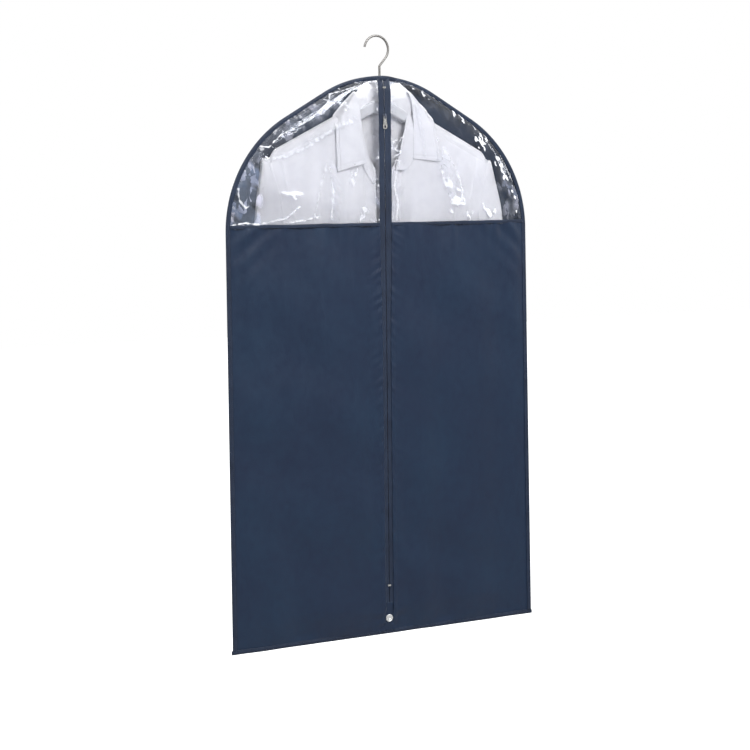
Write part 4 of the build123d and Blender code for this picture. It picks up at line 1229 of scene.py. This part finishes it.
navy_cloth = cloth_material("navy_cloth", NAVY_DARK, NAVY_LIGHT, 2600.0, 0.46, 0.06, 0.30, crease=0.18)
binding_cloth = cloth_material("binding_tape", TAPE_DARK, TAPE_LIGHT, 1700.0, 0.52, 0.08, 0.45, broad=0.05)
zip_cloth = cloth_material(
    "zip_tape", colour(27, 37, 56), colour(38, 51, 73), 1300.0, 0.58, 0.08, 0.6, broad=0.03
)
shirt_cotton = cloth_material(
    "shirt_cotton", colour(234, 234, 240), colour(246, 246, 250), 3200.0, 0.78, 0.10, 0.22,
    crease=0.12, gap_shade=0.08,
)
thread = plastic_material("sewing_thread", colour(36, 48, 72), colour(52, 66, 92), 0.45, 0.3)
teeth_nylon = plastic_material("zip_coil_nylon", colour(15, 19, 34), colour(24, 30, 48), 0.42, 0.2)
hanger_plastic = plastic_material("hanger_plastic", colour(206, 208, 214), colour(222, 223, 228), 0.40, 0.15)
clear_film = film_material()
bright_nickel = metal_material("bright_nickel", (0.86, 0.85, 0.82, 1), 0.22, 0.35)
dark_plate = metal_material("dark_plate", (0.17, 0.19, 0.25, 1), 0.30, 0.45)
satin_plate = metal_material("satin_plate", (0.93, 0.93, 0.92, 1), 0.40, 0.20)
satin_nickel = metal_material("satin_nickel", (0.27, 0.26, 0.25, 1), 0.44, 0.2, brushed=0.3)


# ---- Putting it together ----

AXIS_OUT = np.array([0.0, -1.0, 0.0])

for side in (-1, 1):
    word = NAMES[side]
    cloth = dress(front_panel(side), navy_cloth, replaces=["front_panel_" + word])
    film = dress(window_film(side), clear_film, replaces=["window_" + word])
    dress(edge_binding(side), binding_cloth, replaces=["edge_binding_" + word])
    dress(window_trim(side), binding_cloth, replaces=["window_trim_" + word])
    dress(zip_tape(side), zip_cloth, replaces=["zip_tape_" + word])
    dress(zip_coil(side), teeth_nylon, replaces=["zip_coil_" + word])

    rim = outline_path(side)
    way_in = inward(rim)
    for facing, label in ((-1, "front"), (1, "back")):
        row = rim + way_in * STITCH_IN
        row[:, 1] = facing * (BINDING_HALF * 0.62)
        seam = stitches("edge_stitches_" + word + "_" + label, row, AXIS_OUT * -facing)
        dress(seam, thread)
    reach = side * np.linspace(TAPE_EDGE, half_width(SEAM_Z, BINDING_WIDE + MM), 120)
    for offset, label in ((-1.9 * MM, "lower"), (1.9 * MM, "upper")):
        row = surface_path(side, reach, SEAM_Z + offset, 0.72 * MM)
        seam = stitches("window_stitches_" + word + "_" + label, row, AXIS_OUT)
        dress(seam, thread)
    high = np.linspace(ZIP_FOOT + 4 * MM, HEIGHT - 8 * MM, 300)
    below = smooth(SEAM_Z + 4 * MM, SEAM_Z - 6 * MM, high)
    row_x = side * (TAPE_EDGE - 1.6 * MM + (tape_cover(high) + 3.2 * MM - TAPE_EDGE) * below)
    row_y = zip_line(high) - tape_lift(np.abs(row_x)) - 0.25 * MM - 0.75 * MM * below
    row = np.stack([row_x, row_y, high], -1)
    dress(stitches("zip_stitches_" + word, row, AXIS_OUT), thread)

back = dress(back_cloth(), navy_cloth, replaces=["back_panel"])
front_lip = mouth_binding(12 * MM, -1, "mouth_tape_front")
back_lip = mouth_binding(9 * MM, 1, "mouth_tape_back")
dress(front_lip, binding_cloth, replaces=["mouth_binding_front"])
dress(back_lip, binding_cloth, replaces=["mouth_binding_back"])
dress(hem_tape(), binding_cloth, replaces=["hem_binding"])
hem_run = np.linspace(-HEM_HALF + 2 * MM, HEM_HALF - 2 * MM, 240)
for facing, label in ((-1, "front"), (1, "back")):
    on_tape = np.full_like(hem_run, facing * BINDING_HALF * 0.72)
    row = np.stack([hem_run, on_tape, np.full_like(hem_run, STITCH_IN)], -1)
    seam = stitches("hem_stitches_" + label, row, AXIS_OUT * -facing)
    dress(seam, thread)
strip = placket(HEM_TOP - 1.5 * MM, ZIP_FOOT - 0.5 * MM, 8.5 * MM, 0.2 * MM, "placket_front")
dress(strip, navy_cloth, replaces=["placket_strip"])
facing_strip = placket(HEM_TOP, ZIP_FOOT - MM, 8.0 * MM, -1.0 * MM, "placket_lining")
dress(facing_strip, navy_cloth, replaces=["placket_facing"])
dress(rivet_head(), satin_plate, replaces=["rivet_cap"])

if SHOW_SHIRT:
    for side in (-1, 1):
        half = dress(shirt_front(side), shirt_cotton)
        sleeve = dress(shirt_sleeve(side), shirt_cotton)
    rear = dress(shirt_back(), shirt_cotton)
    dress(collar_back(), shirt_cotton)
    for side in (-1, 1):
        dress(collar_stand(side), shirt_cotton)
        dress(collar_leaf(side), shirt_cotton)

for node, material in (
    ("hook_wire", satin_nickel),
    ("hook_stop", satin_nickel),
    ("hanger_body", hanger_plastic),
    ("zip_top_stops", bright_nickel),
    ("zip_bottom_stop", bright_nickel),
    ("rivet_post", bright_nickel),
    ("rivet_washer", bright_nickel),
    ("zip_slider", dark_plate),
    ("zip_pull", bright_nickel),
):
    solid = bpy.data.objects[node]
    solid.data.materials.clear()
    solid.data.materials.append(material)


# ---- Studio: floor, light and camera ----

FLOOR_DROP = 0.60
FLOOR_HALF = 14.0
floor_corners = np.array([(-1, -1, 0), (1, -1, 0), (1, 1, 0), (-1, 1, 0)]) * FLOOR_HALF
floor_corners[:, 2] = FOOT_Z - FLOOR_DROP
floor = add_mesh("studio_floor", floor_corners, np.array([[0, 1, 2, 3]]))
floor.data.materials.append(floor_material())

world = bpy.data.worlds.new("studio")
bpy.context.scene.world = world
world.use_nodes = True
sky = Board(world.node_tree)
ray = sky.add("LightPath").outputs["Is Camera Ray"]
shown = sky.add("Background", {"Color": (1, 1, 1, 1), "Strength": 1.0}).outputs[0]
height = sky.add("SeparateXYZ", {0: sky.add("TexCoord").outputs["Generated"]}).outputs[2]
from_above = sky.span(height, -0.25, 0.9, 0.02, 1.25)
surround = sky.add("Background", {"Color": (0.97, 0.98, 1.0, 1), "Strength": from_above}).outputs[0]
mixed = sky.add("MixShader", {0: ray, 1: surround, 2: shown}).outputs[0]
sky.link(mixed, sky.add("OutputWorld").inputs[0])


def soft_light(name, place, aim, wide, high, power):
    """A rectangular area light at place that faces aim. The camera doesn't see the lamp itself."""
    lamp = bpy.data.lights.new(name, "AREA")
    lamp.shape = "RECTANGLE"
    lamp.size, lamp.size_y, lamp.energy = wide, high, power
    lamp_object = bpy.data.objects.new(name, lamp)
    bpy.context.scene.collection.objects.link(lamp_object)
    lamp_object.visible_camera = False
    look = Vector(aim) - Vector(place)
    facing = look.to_track_quat("-Z", "Y").to_matrix().to_4x4()
    lamp_object.matrix_world = Matrix.Translation(place) @ facing


UPPER, MIDDLE = (0.0, 0.0, -0.25), (0.0, 0.0, -0.5)
soft_light("key", (0.30, -1.55, 0.90), (0.0, 0.0, -0.12), 1.0, 0.9, 36)
soft_light("left", (-1.9, -1.3, 0.3), UPPER, 1.5, 1.6, 10)
soft_light("left_high", (-1.2, -1.35, 1.55), UPPER, 0.8, 0.8, 9)
soft_light("right", (2.3, -0.7, 0.1), MIDDLE, 0.25, 1.2, 5)
soft_light("top", (0.2, -0.3, 1.3), UPPER, 1.2, 0.4, 5)
soft_light("rear", (0.6, 2.2, 0.8), MIDDLE, 1.6, 1.6, 45)

# The camera stands to the left of the bag and a little above its middle, and looks slightly down.
CAMERA_YAW, CAMERA_DOWN, CAMERA_ROLL = radians(26.62), radians(5.744), radians(-0.958)
CAMERA_TARGET = Vector((-18.685, 0.0, 473.13)) * MM + Vector((CENTRE_X, 0, FOOT_Z))
CAMERA_AWAY = 3.031
level = cos(CAMERA_DOWN)
ahead = Vector((sin(CAMERA_YAW) * level, cos(CAMERA_YAW) * level, -sin(CAMERA_DOWN)))
right = Vector((cos(CAMERA_YAW), -sin(CAMERA_YAW), 0))
above = right.cross(ahead)
turned_right = cos(CAMERA_ROLL) * right + sin(CAMERA_ROLL) * above
turned_up = -sin(CAMERA_ROLL) * right + cos(CAMERA_ROLL) * above
lens = bpy.data.cameras.new("camera")
lens.lens, lens.sensor_width = 81.55, 36.0
camera = bpy.data.objects.new("camera", lens)
bpy.context.scene.collection.objects.link(camera)
placed = Matrix((turned_right, turned_up, -ahead)).transposed().to_4x4()
placed.translation = CAMERA_TARGET - ahead * CAMERA_AWAY
camera.matrix_world = placed
bpy.context.scene.camera = camera
bpy.context.scene.view_settings.view_transform = "Standard"
